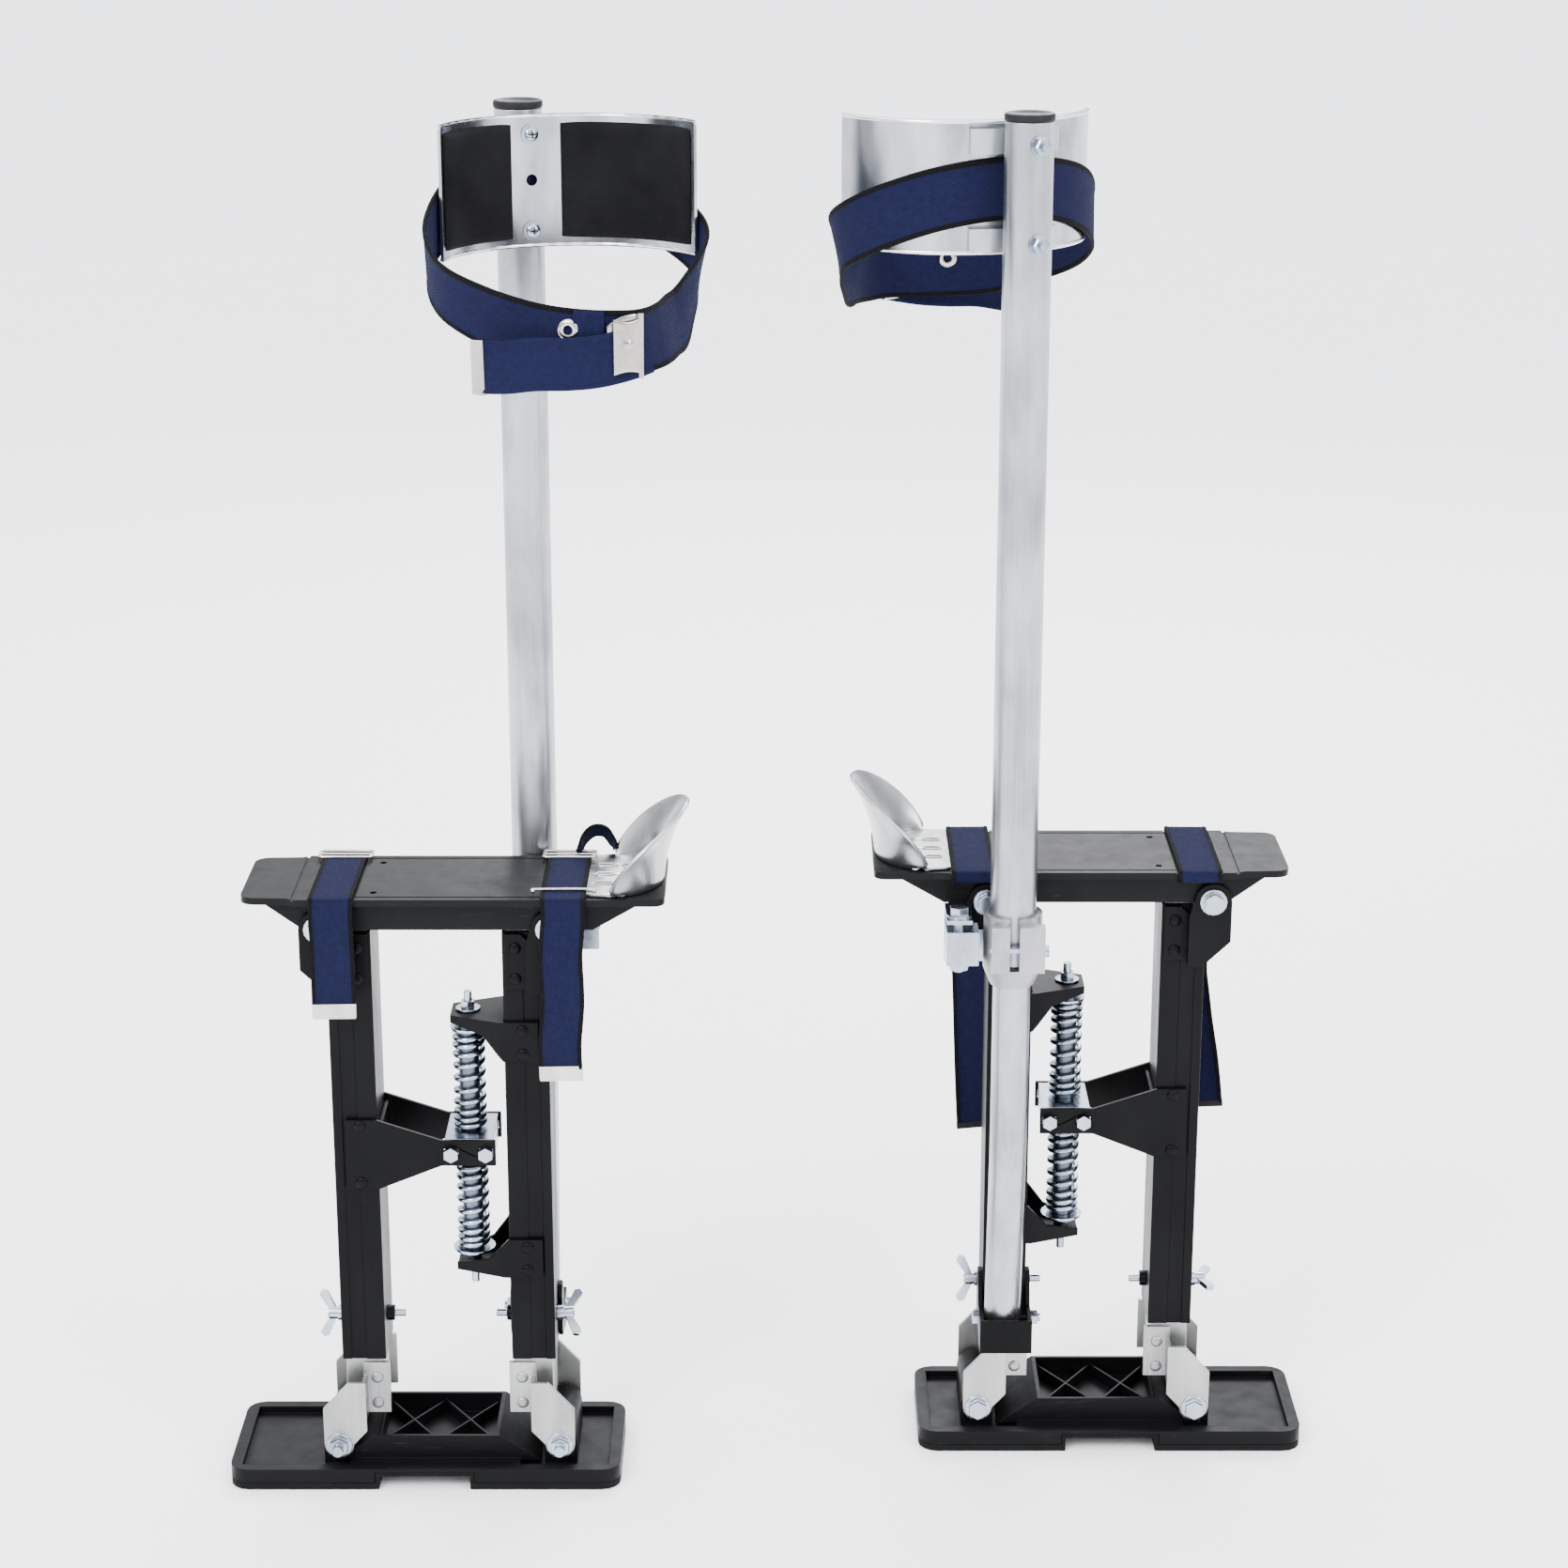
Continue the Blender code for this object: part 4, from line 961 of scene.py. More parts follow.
@dataclass
class Rivets:
    """Domed rivets of the brackets and the ankle plates."""

    radius: float = 4.4 * MM
    dome: float = 2.0 * MM

    def heads(
        self,
        stilt: Stilt,
        name: str,
        body: str,
        finish: str,
        places: Iterable[Vector],
        lift: float,
    ) -> None:
        """Makes one group of rivet heads.

        Args:
            stilt: The stilt.
            name: The group's name.
            body: The body that they ride on.
            finish: Their finish.
            places: Where each stands, seen from the side.
            lift: How far out along Y the plate's face is.
        """
        shape = Shape()
        radius, dome = self.radius, self.dome
        profile = [(0.0, -0.3 * MM), (radius, -0.3 * MM), (radius, 0.25 * MM)]
        profile += [
            (radius * math.cos(t), 0.25 * MM + (dome - 0.25 * MM) * math.sin(t))
            for t in (math.radians(a) for a in (20, 40, 60, 76))
        ]
        profile.append((0.0, dome))
        for place in places:
            for facing in (-1, 1):
                axis = Vector((0.0, facing, 0.0))
                shape.turned(profile, Vector((place.x, facing * lift, place.z)), axis, 20)
        stilt.put(shape.written(name), name, body, finish, (), 50.0)

    def build(self, stilt: Stilt) -> None:
        """Sets every rivet of a stilt.

        Args:
            stilt: The stilt.
        """
        ankle, top = 25.7 * MM, 28.3 * MM
        for sign, place in ((1, "front"), (-1, "rear")):
            low = [Vector((sign * 0.0535, 0, z)) for z in (0.0765, 0.0560)]
            self.heads(stilt, f"{place}_ankle_rivets", f"{place}_lower", "cast_alloy", low, ankle)
            high = [Vector((sign * 0.0560, 0, z)) for z in (0.4135, 0.3905)]
            self.heads(stilt, f"{place}_top_rivets", f"{place}_upper", "paint", high, top)
        middle = [Vector((0.0590, 0, z)) for z in (0.2775, 0.2335)]
        self.heads(stilt, "centre_rivets", "front_upper", "paint", middle, top)
        rear = [Vector((-0.0600, 0, z)) for z in (0.3510, 0.3330, 0.1820, 0.1640)]
        self.heads(stilt, "rear_bracket_rivets", "rear_upper", "paint", rear, top)


@dataclass
class CalfPole:
    """What is on the pole besides its tubes: the cap and the band's bolts."""

    cap_over: float = 0.6 * MM
    cap_high: float = 5.5 * MM
    bolt_levels: Pair = (0.9740, 0.9090)
    band_inside: float = 89.7 * MM

    def build(self, stilt: Stilt) -> None:
        """Makes the cap and the bolts.

        Args:
            stilt: The stilt.
        """
        low, high = stilt.box("pole_upper_tube")
        axis = Vector(((low.x + high.x) / 2, (low.y + high.y) / 2, 0.0))
        radius = (high.x - low.x) / 2
        rim = radius + self.cap_over
        shape = Shape()
        profile = [(0.0, -14 * MM), (13.6 * MM, -14 * MM), (13.9 * MM, 0.2 * MM), (rim - 0.6 * MM, 0.2 * MM)]
        profile += [(rim, 0.9 * MM), (rim, self.cap_high - 1.6 * MM)]
        profile += [(rim - 0.5 * MM, self.cap_high - 0.5 * MM)]
        profile += [(rim - 1.6 * MM, self.cap_high), (rim - 3.2 * MM, self.cap_high - 0.4 * MM)]
        profile += [(rim - 5.0 * MM, self.cap_high - 1.5 * MM), (0.0, self.cap_high - 1.8 * MM)]
        shape.turned(profile, axis + Vector((0, 0, high.z)), Vector((0, 0, 1)), 40)
        stilt.put(shape.written("pole_cap"), "pole_cap", "calf_pole", "cap", (), 40.0)
        self.bolts(stilt, axis, radius)

    def bolts(self, stilt: Stilt, axis: Vector, radius: float) -> None:
        """The two bolts that hold the band to the pole.

        Args:
            stilt: The stilt.
            axis: The pole's axis, at height 0.
            radius: The pole's radius.
        """
        ring_low, ring_high = stilt.box("leg_strap")
        centre = (ring_low + ring_high) / 2
        outward = Vector((axis.x - centre.x, axis.y - centre.y, 0.0)).normalized()
        hub = Vector((centre.x, centre.y, 0.0))
        nuts, screws, cross = Shape(), Shape(), Shape()
        for level in self.bolt_levels:
            lift = Vector((0.0, 0.0, level))
            seat = axis + outward * (radius - 0.3 * MM) + lift
            washer = [(0.0, 0.0), (7.2 * MM, 0.0), (7.2 * MM, 1.3 * MM), (0.0, 1.3 * MM)]
            nuts.turned(washer, seat, outward, 28)
            hexagon = [(0.0, 1.3 * MM), (5.9 * MM, 1.3 * MM), (5.9 * MM, 5.6 * MM), (5.1 * MM, 6.3 * MM)]
            nuts.turned([*hexagon, (0.0, 6.3 * MM)], seat, outward, 6)
            thread = [(0.0, 6.0 * MM), (2.9 * MM, 6.0 * MM), (2.5 * MM, 9.2 * MM), (0.0, 9.4 * MM)]
            nuts.turned(thread, seat, outward, 16)
            face = hub + outward * self.band_inside + lift
            inward = -outward
            screws.turned([(0.0, -0.6 * MM), (7.0 * MM, -0.6 * MM), (7.0 * MM, 1.0 * MM), (0.0, 1.0 * MM)],
                          face, inward, 28)
            pan = [(0.0, 1.0 * MM), (4.8 * MM, 1.0 * MM), (4.7 * MM, 2.0 * MM), (3.6 * MM, 3.1 * MM)]
            screws.turned([*pan, (1.8 * MM, 3.5 * MM), (0.0, 3.6 * MM)], face, inward, 24)
            flat = Vector((0.0, 0.0, 1.0)).cross(inward)
            for first, second in ((flat, Vector((0, 0, 1))), (Vector((0, 0, 1)), flat)):
                tip = face + inward * 3.65 * MM
                path = [tip - first * 2.6 * MM, tip + first * 2.6 * MM]
                cross.sweep(path, [second] * 2, [inward] * 2, [(-0.5 * MM, -0.5 * MM), (0.5 * MM, -0.5 * MM),
                                                              (0.5 * MM, 0.08 * MM), (-0.5 * MM, 0.08 * MM)])
        stilt.put(nuts.written("band_nuts"), "band_nuts", "calf_pole", "zinc", (), 35.0)
        stilt.put(screws.written("band_screws"), "band_screws", "calf_pole", "zinc", (), 35.0)
        stilt.put(cross.written("band_screw_recess"), "band_screw_recess", "calf_pole", "cap", (), 35.0)


@dataclass
class CalfCuff:
    """The calf band's soft parts: rolled lips, foam pads, the bound strap and its cam buckle."""

    strap_width: float = 42 * MM
    strap_thick: float = 1.7 * MM
    foam_thick: float = 5.2 * MM
    band_start: float = -150.0
    band_end: float = -10.0
    lip: float = 1.5 * MM
    lip_radius: float = 91.2 * MM
    pad_back: float = 89.6 * MM
    pads: tuple[Pair, Pair] = ((-147.0, -81.0), (-58.5, -13.0))
    hub: Vector = field(default_factory=Vector)
    pole_angle: float = 0.0
    middle: float = 0.0
    tilt: float = 0.0
    eyelet_at: float = 90.0
    path: list[tuple[float, ...]] = field(default_factory=list)
    strap_run: tuple[tuple[float, float, float, float], ...] = (
        (-68.0, 0.0942, 0.0, 0.0),
        (-40.0, 0.0942, 0.0, 0.0),
        (-12.0, 0.0950, 0.0, 0.0),
        (10.0, 0.0985, -1 * MM, 4.0),
        (28.0, 0.0965, -2 * MM, 8.0),
        (48.0, 0.0860, 1 * MM, 8.0),
        (70.0, 0.0810, 6 * MM, 4.0),
        (90.0, 0.0855, 11 * MM, 0.0),
        (106.0, 0.0910, 13 * MM, 0.0),
        (118.0, 0.0942, 13 * MM, 0.0),
        (132.0, 0.0850, 11 * MM, -4.0),
        (150.0, 0.0745, 6 * MM, -8.0),
        (166.0, 0.0715, -2 * MM, -8.0),
        (182.0, 0.0750, -4 * MM, -6.0),
        (197.0, 0.0850, -3 * MM, -3.0),
        (212.0, 0.0945, 0.0, 0.0),
        (240.0, 0.0942, 0.0, 0.0),
        (266.0, 0.0942, 0.0, 0.0),
    )

    def measure(self, stilt: Stilt) -> None:
        """Reads the strap's ring and the pole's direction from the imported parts.

        Args:
            stilt: The stilt.
        """
        low, high = stilt.box("leg_strap")
        pole_low, pole_high = stilt.box("pole_upper_tube")
        self.hub = Vector(((low.x + high.x) / 2, (low.y + high.y) / 2, 0.0))
        pole = (pole_low + pole_high) / 2 - self.hub
        self.pole_angle = math.atan2(pole.y, pole.x)
        self.middle = (low.z + high.z) / 2
        self.tilt = (high.z - low.z - self.strap_width) / 2

    def at(self, angle: float, radius: float, z: float) -> Vector:
        """A point round the calf.

        Args:
            angle: Its direction, in radians.
            radius: Its distance from the calf's middle.
            z: Its height.

        Returns:
            The point in the stilt's frame.
        """
        return self.hub + Vector((radius * math.cos(angle), radius * math.sin(angle), z))

    def strap_z(self, angle: float) -> float:
        """The height of the strap's middle line at a direction."""
        return self.middle + self.tilt * math.cos(angle - self.pole_angle)

    def build(self, stilt: Stilt) -> None:
        """Makes every soft and fine piece round the calf.

        Args:
            stilt: The stilt.
        """
        self.measure(stilt)
        self.lips(stilt)
        self.padding(stilt)
        self.strap(stilt)
        self.tail(stilt)
        self.buckle(stilt)
        self.eyelet(stilt)

    def lips(self, stilt: Stilt) -> None:
        """The rolled top and bottom edges of the band, in a brighter aluminium than the band: a painted
        highlight.

        Args:
            stilt: The stilt.
        """
        low, high = stilt.box("leg_band")
        shape = Shape()
        for z in (low.z + self.lip, high.z - self.lip):
            path, across, up = [], [], []
            for i in range(61):
                angle = math.radians(self.band_start + (self.band_end - self.band_start) * i / 60)
                path.append(self.at(angle, self.lip_radius, z))
                across.append(Vector((math.cos(angle), math.sin(angle), 0.0)))
                up.append(Vector((0.0, 0.0, 1.0)))
            shape.sweep(path, across, up, polygon(self.lip, 12))
        stilt.put(shape.written("band_lips"), "band_lips", "calf_pole", "lip_painted_highlight", (), 50.0)

    def padding(self, stilt: Stilt) -> None:
        """Two die-cut foam pads glued inside the band, crowned and rounded at their edges.

        Args:
            stilt: The stilt.
        """
        low, high = stilt.box("leg_pad")
        for number, (first, last) in enumerate(self.pads):
            shape = Shape()
            rows_back, rows_face = [], []
            steps, levels = 34, 26
            for i in range(steps + 1):
                s = 2 * i / steps - 1
                angle = math.radians(first + (last - first) * i / steps)
                back, face = [], []
                for j in range(levels + 1):
                    t = 2 * j / levels - 1
                    corner = 1 - 0.020 * abs(s) ** 8
                    z = (low.z + high.z) / 2 + t * (high.z - low.z) / 2 * corner
                    full = (1 - abs(s) ** 10) ** 0.5 * (1 - abs(t) ** 12) ** 0.5
                    crown = 0.82 + 0.18 * (1 - s * s) * (1 - t * t)
                    ripple = 0.25 * MM * math.sin(9 * angle + 5 * t)
                    thick = self.foam_thick * full * crown + ripple * full
                    back.append(self.at(angle, self.pad_back, z))
                    face.append(self.at(angle, self.pad_back - max(thick, 0.0) - 0.25 * MM, z))
                rows_back.append(back)
                rows_face.append(face)
            shape.grid(rows_back)
            shape.grid(rows_face)
            for rows in ((rows_back[0], rows_face[0]), (rows_back[-1], rows_face[-1])):
                shape.grid(rows)
            for j in (0, -1):
                shape.grid([[row[j] for row in rows_back], [row[j] for row in rows_face]])
            bmesh.ops.remove_doubles(shape.mesh, verts=shape.mesh.verts, dist=0.01 * MM)
            which = "toe" if number else "heel"
            stands_for = ("leg_pad",) if number == 0 else ()
            made = stilt.put(shape.written("pad"), f"{which}_side_pad", "calf_pole", "foam", stands_for, 50.0)

    def ribbon(
        self,
        points: Sequence[tuple[float, float, float, float]],
        closed: bool = False,
        width: Optional[float] = None,
    ) -> Shape:
        """Bound webbing round the calf.

        Args:
            points: Direction in degrees, distance, height and lean in degrees at each point.
            closed: Whether it is a full ring.
            width: Its width, when it isn't the strap's own.

        Returns:
            The shape.
        """
        wide = width or self.strap_width
        path = [self.at(math.radians(a), r, z) for a, r, z, _ in points]
        across, up = [], []
        count = len(path)
        for i, (angle, _, _, lean) in enumerate(points):
            after = path[(i + 1) % count] if closed or i + 1 < count else path[i]
            before = path[i - 1] if closed or i else path[i]
            along = (after - before).normalized()
            out = Vector((math.cos(math.radians(angle)), math.sin(math.radians(angle)), 0.0))
            out = (out - along * out.dot(along)).normalized()
            out = Matrix.Rotation(math.radians(lean), 3, along) @ out
            across.append(along.cross(out))
            up.append(out)
        shape = Shape()
        shape.sweep(path, across, up, strap_section(wide, self.strap_thick, 3.6 * MM), closed)
        return shape

    def strap(self, stilt: Stilt) -> None:
        """The ring of webbing: behind the pole, down both sides and through the buckle.

        Args:
            stilt: The stilt.
        """
        ring = [(a, r, self.strap_z(math.radians(a)) + dz, lean) for a, r, dz, lean in self.strap_run]
        turn = Vector((360.0, 0.0, 0.0, 0.0))
        wrapped = [Vector(ring[-1]) - turn, *ring, Vector(ring[0]) + turn, Vector(ring[1]) + turn]
        curve = blended(wrapped, 8)[8:-8]
        points = [tuple(point) for point in curve[:-1]]
        self.path = points
        shape = self.ribbon(points, closed=True)
        stilt.put(shape.written("strap"), "calf_strap", "calf_pole", "webbing_calf", ("leg_strap",), 60.0)

    def tail(self, stilt: Stilt) -> None:
        """The strap's loose end, which leaves the buckle and lies outside the ring, with its crimped tip.

        Args:
            stilt: The stilt.
        """
        shape_points = (
            (121.0, 0.0975, 14 * MM, 0.0),
            (110.0, 0.0970, 10 * MM, 0.0),
            (100.0, 0.0965, 6 * MM, 0.0),
            (89.0, 0.0960, 2 * MM, 3.0),
            (77.0, 0.0975, -3 * MM, 8.0),
            (65.0, 0.1010, -12 * MM, 6.0),
            (54.0, 0.1050, -20 * MM, 0.0),
        )
        points = [
            (a, r, self.strap_z(math.radians(a)) - 5 * MM + dz, lean)
            for a, r, dz, lean in (tuple(p) for p in blended(shape_points, 6))
        ]
        shape = self.ribbon(points, width=0.034)
        stilt.put(shape.written("tail"), "calf_strap_tail", "calf_pole", "webbing_calf", (), 60.0)
        ends = [self.at(math.radians(a), r, z) for a, r, z, _ in points[-4:]]
        tip = crimp(ends, Vector((0, 0, 1)), 0.0355, 3.4 * MM, 8 * MM)
        stilt.put(tip.written("tip"), "calf_strap_tip", "calf_pole", "nickel", (), 35.0)

    def buckle(self, stilt: Stilt) -> None:
        """The cam buckle: a lever plate on its pin, and the back plate that lies under it.

        Args:
            stilt: The stilt.
        """
        pin = stilt.joint_place("buckle_open")
        offset = pin - self.hub
        angle = math.degrees(math.atan2(offset.y, offset.x))
        radius = math.hypot(offset.x, offset.y)
        middle = self.strap_z(math.radians(angle)) + 11 * MM
        half = self.strap_width / 2 - 3 * MM
        rows = []
        for i in range(13):
            a = math.radians(angle - 11 * i / 12)
            lift = 1.4 * MM * math.sin(math.pi * i / 12) + 0.9 * MM * (i / 12) ** 3
            waist = half - 2.0 * MM * math.sin(math.pi * i / 12)
            rows.append([self.at(a, radius + lift, middle + waist * (2 * j / 16 - 1)) for j in range(17)])
        plate = Shape()
        plate.grid(rows)
        mesh = solid_sheet(plate, 1.6 * MM, 0.45 * MM)
        stilt.put(mesh, "buckle_lever_plate", "buckle", "nickel", ("buckle_lever",), 35.0)
        axle = Shape()
        axle.tube([self.at(math.radians(angle), radius, middle - half - 3 * MM),
                   self.at(math.radians(angle), radius, middle + half + 3 * MM)], 2.0 * MM, 16)
        stud = self.at(math.radians(angle - 5.5), radius + 2.2 * MM, middle + 2 * MM)
        out = Vector((math.cos(math.radians(angle - 5.5)), math.sin(math.radians(angle - 5.5)), 0.0))
        axle.turned([(0.0, -0.5 * MM), (3.4 * MM, -0.5 * MM), (3.3 * MM, 0.6 * MM), (2.0 * MM, 1.3 * MM),
                     (0.0, 1.5 * MM)], stud, out, 20)
        stilt.put(axle.written("pin"), "buckle_pin", "buckle", "nickel", (), 35.0)
        frame = Shape()
        base_rows = []
        for i in range(17):
            a = math.radians(angle + 0.5 - 13.5 * i / 16)
            tall = half + 2.5 * MM - 7.0 * MM * (i / 16) ** 3
            heights = [middle + tall * (2 * j / 12 - 1) for j in range(13)]
            base_rows.append([self.at(a, radius - 2.2 * MM, z) for z in heights])
        frame.grid(base_rows)
        mesh = solid_sheet(frame, 1.5 * MM, 0.45 * MM)
        stilt.put(mesh, "buckle_frame", "calf_pole", "nickel", (), 40.0)

    def eyelet(self, stilt: Stilt) -> None:
        """The eyelet beside the buckle, and the folded flap of webbing next to it.

        Args:
            stilt: The stilt.
        """
        near = min(range(len(self.path)), key=lambda i: abs(self.path[i][0] - self.eyelet_at))
        angle, distance, middle, _ = self.path[near]
        beside = (self.path[near - 1], self.path[near + 1])
        before, after = (self.at(math.radians(a), r, z) for a, r, z, _ in beside)
        out = (after - before).normalized().cross(Vector((0.0, 0.0, 1.0))).normalized()
        shape = Shape()
        ring = [(2.6 * MM, 0.2 * MM), (3.2 * MM, 1.6 * MM), (4.6 * MM, 2.0 * MM), (6.6 * MM, 1.4 * MM),
                (7.2 * MM, 0.4 * MM), (7.0 * MM, -0.3 * MM), (2.6 * MM, -0.3 * MM)]
        for facing in (1, -1):
            seat = self.at(math.radians(angle), distance, middle + 7 * MM) + out * (1.1 * MM * facing)
            ring_turned(shape, ring, seat, out * facing, 28)
        stilt.put(shape.written("eyelet"), "strap_eyelet", "calf_pole", "nickel", (), 45.0)
        flap = []
        for i in range(13):
            a = 104.0 - 12.0 * i / 12
            near = min(self.path, key=lambda p: abs(p[0] - a))
            flap.append((a, near[1] + 2.0 * MM, near[2] + 3 * MM, near[3]))
        patch = self.ribbon(flap, width=0.036)
        stilt.put(patch.written("flap"), "strap_flap", "calf_pole", "webbing_calf", (), 60.0)


def ring_turned(shape: Shape, section: Sequence[Pair], origin: Vector, axis: Vector, steps: int) -> None:
    """A ring with an open middle.

    Args:
        shape: The shape that it is added to.
        section: Radius and height round the ring's closed section.
        origin: Where height 0 is.
        axis: The direction of height.
        steps: Stretches round it.
    """
    turn = axis.to_track_quat("Z", "Y").to_matrix()
    path, across, up = [], [], []
    for x, y in polygon(1.0, steps):
        path.append(origin.copy())
        across.append(turn @ Vector((x, y, 0.0)))
        up.append(turn @ Vector((0.0, 0.0, 1.0)))
    shape.sweep(path, across, up, section, closed=True)


def crimp(ends: Sequence[Vector], across: Vector, width: float, thick: float, length: float) -> Shape:
    """A folded metal tip over the end of a strap.

    Args:
        ends: The strap's last points.
        across: The strap's width direction.
        width: The tip's width.
        thick: The tip's thickness.
        length: How far it reaches back along the strap.

    Returns:
        The shape.
    """
    along = (ends[-1] - ends[-2]).normalized()
    across = (across - along * across.dot(along)).normalized()
    up = along.cross(across)
    shape = Shape()
    half, deep, soft = width / 2, thick / 2, 0.45 * MM
    section = [(half, -deep + soft), (half, deep - soft), (half - soft, deep), (-half + soft, deep)]
    section += [(-half, deep - soft), (-half, -deep + soft), (-half + soft, -deep), (half - soft, -deep)]
    steps = (-length, -length * 0.9, -length * 0.35, -length * 0.25, 0.6 * MM, 1.3 * MM)
    path = [ends[-1] + along * step for step in steps]
    grow = (0.97, 1.0, 1.0, 0.93, 0.93, 0.8)
    shape.sweep(path, [across * g for g in (1.0, 1.0, 1.0, 1.0, 1.0, 0.985)], [up * g for g in grow], section)
    return shape


def solid_sheet(
    shape: Shape,
    thick: float,
    ease: float,
    slots: Sequence[tuple[Vector, Vector]] = (),
) -> bpy.types.Mesh:
    """Gives an open sheet a thickness, cuts slots in it and eases its edges.

    Args:
        shape: The sheet.
        thick: Its thickness, half to each side.
        ease: Width of the eased edge.
        slots: Lowest and highest corner of each slot.

    Returns:
        The solid mesh.
    """
    scene = bpy.context.scene.collection
    made = bpy.data.objects.new("sheet_maker", shape.written("sheet_maker"))
    scene.objects.link(made)
    solidify = made.modifiers.new("Thickness", "SOLIDIFY")
    solidify.thickness = thick
    solidify.offset = 0.0
    cutters = []
    for low, high in slots:
        cutter = Shape()
        cutter.block(low, high)
        tool = bpy.data.objects.new("slot_maker", cutter.written("slot_maker"))
        scene.objects.link(tool)
        change = made.modifiers.new("Slot", "BOOLEAN")
        change.operation = "DIFFERENCE"
        change.object = tool
        cutters.append(tool)
    bevel = made.modifiers.new("Ease", "BEVEL")
    bevel.width = ease
    bevel.segments = 2
    bevel.limit_method = "ANGLE"
    bevel.angle_limit = math.radians(40)
    bpy.context.view_layer.update()
    graph = bpy.context.evaluated_depsgraph_get()
    mesh = bpy.data.meshes.new_from_object(made.evaluated_get(graph))
    for used in (made, *cutters):
        bpy.data.objects.remove(used)
    return mesh


@dataclass
class HeelCup:
    """The pressed aluminium heel cup: a slotted base and a back wall that flares like a shoehorn."""

    thick: float = 2.0 * MM
    rise: float = 56 * MM
    flare: float = 17 * MM
    middle_x: float = -0.125
    reach: float = 37 * MM
    half_width: float = 46.5 * MM
    base_front: float = -0.108
    slot_columns: Pair = (-0.1195, -0.1375)
    slot_rows: tuple[float, float, float] = (-0.020, 0.0, 0.020)

    def build(self, stilt: Stilt) -> None:
        """Presses the cup.

        Args:
            stilt: The stilt.
        """
        low, _ = stilt.box("heel_cup")
        base_z = low.z + self.thick / 2
        rows = []
        steps = 56
        for i in range(steps + 1):
            angle = math.radians(-90 + 180 * i / steps)
            lean = max(math.cos(angle), 0.0)
            out = Vector((-math.cos(angle), math.sin(angle), 0.0))
            foot = Vector((self.middle_x + out.x * self.reach, out.y * self.half_width, base_z))
            front = Vector((self.base_front, 0.94 * foot.y, base_z))
            height = 4 * MM + (self.rise - 4 * MM) * lean**0.8
            spread = 2 * MM + (self.flare - 2 * MM) * lean
            row = [front.lerp(foot, share) for share in (0.0, 0.25, 0.5, 0.75, 0.92)]
            for k in range(0, 15):
                share = k / 14
                bend = 1.2 * MM * (1 - share) ** 3
                row.append(foot + out * (spread * share**2 - bend) + Vector((0, 0, height * share)))
            rows.append(row)
        shape = Shape()
        shape.grid(rows)
        reach = Vector((5 * MM, 1.9 * MM, 5 * MM))
        centres = [Vector((x, y, base_z)) for x in self.slot_columns for y in self.slot_rows]
        slots = [(centre - reach, centre + reach) for centre in centres]
        mesh = solid_sheet(shape, self.thick, 0.5 * MM, slots)
        stilt.put(mesh, "heel_cup_shell", "heel", "cup_alloy", ("heel_cup",), 30.0)
        rims = Shape()
        for low_corner, high_corner in slots:
            middle = (low_corner + high_corner) / 2
            top = base_z + self.thick / 2 + 0.2 * MM
            loop = []
            for i in range(24):
                turn = 2 * math.pi * i / 24
                straight = math.copysign(3.2 * MM, math.cos(turn))
                x = middle.x + straight + 2.9 * MM * math.cos(turn)
                loop.append(Vector((x, middle.y + 2.9 * MM * math.sin(turn), top)))
            rims.tube(loop, 0.75 * MM, 8, closed=True)
        stilt.put(rims.written("rims"), "heel_cup_slot_rims", "heel", "cup_alloy", (), 50.0)


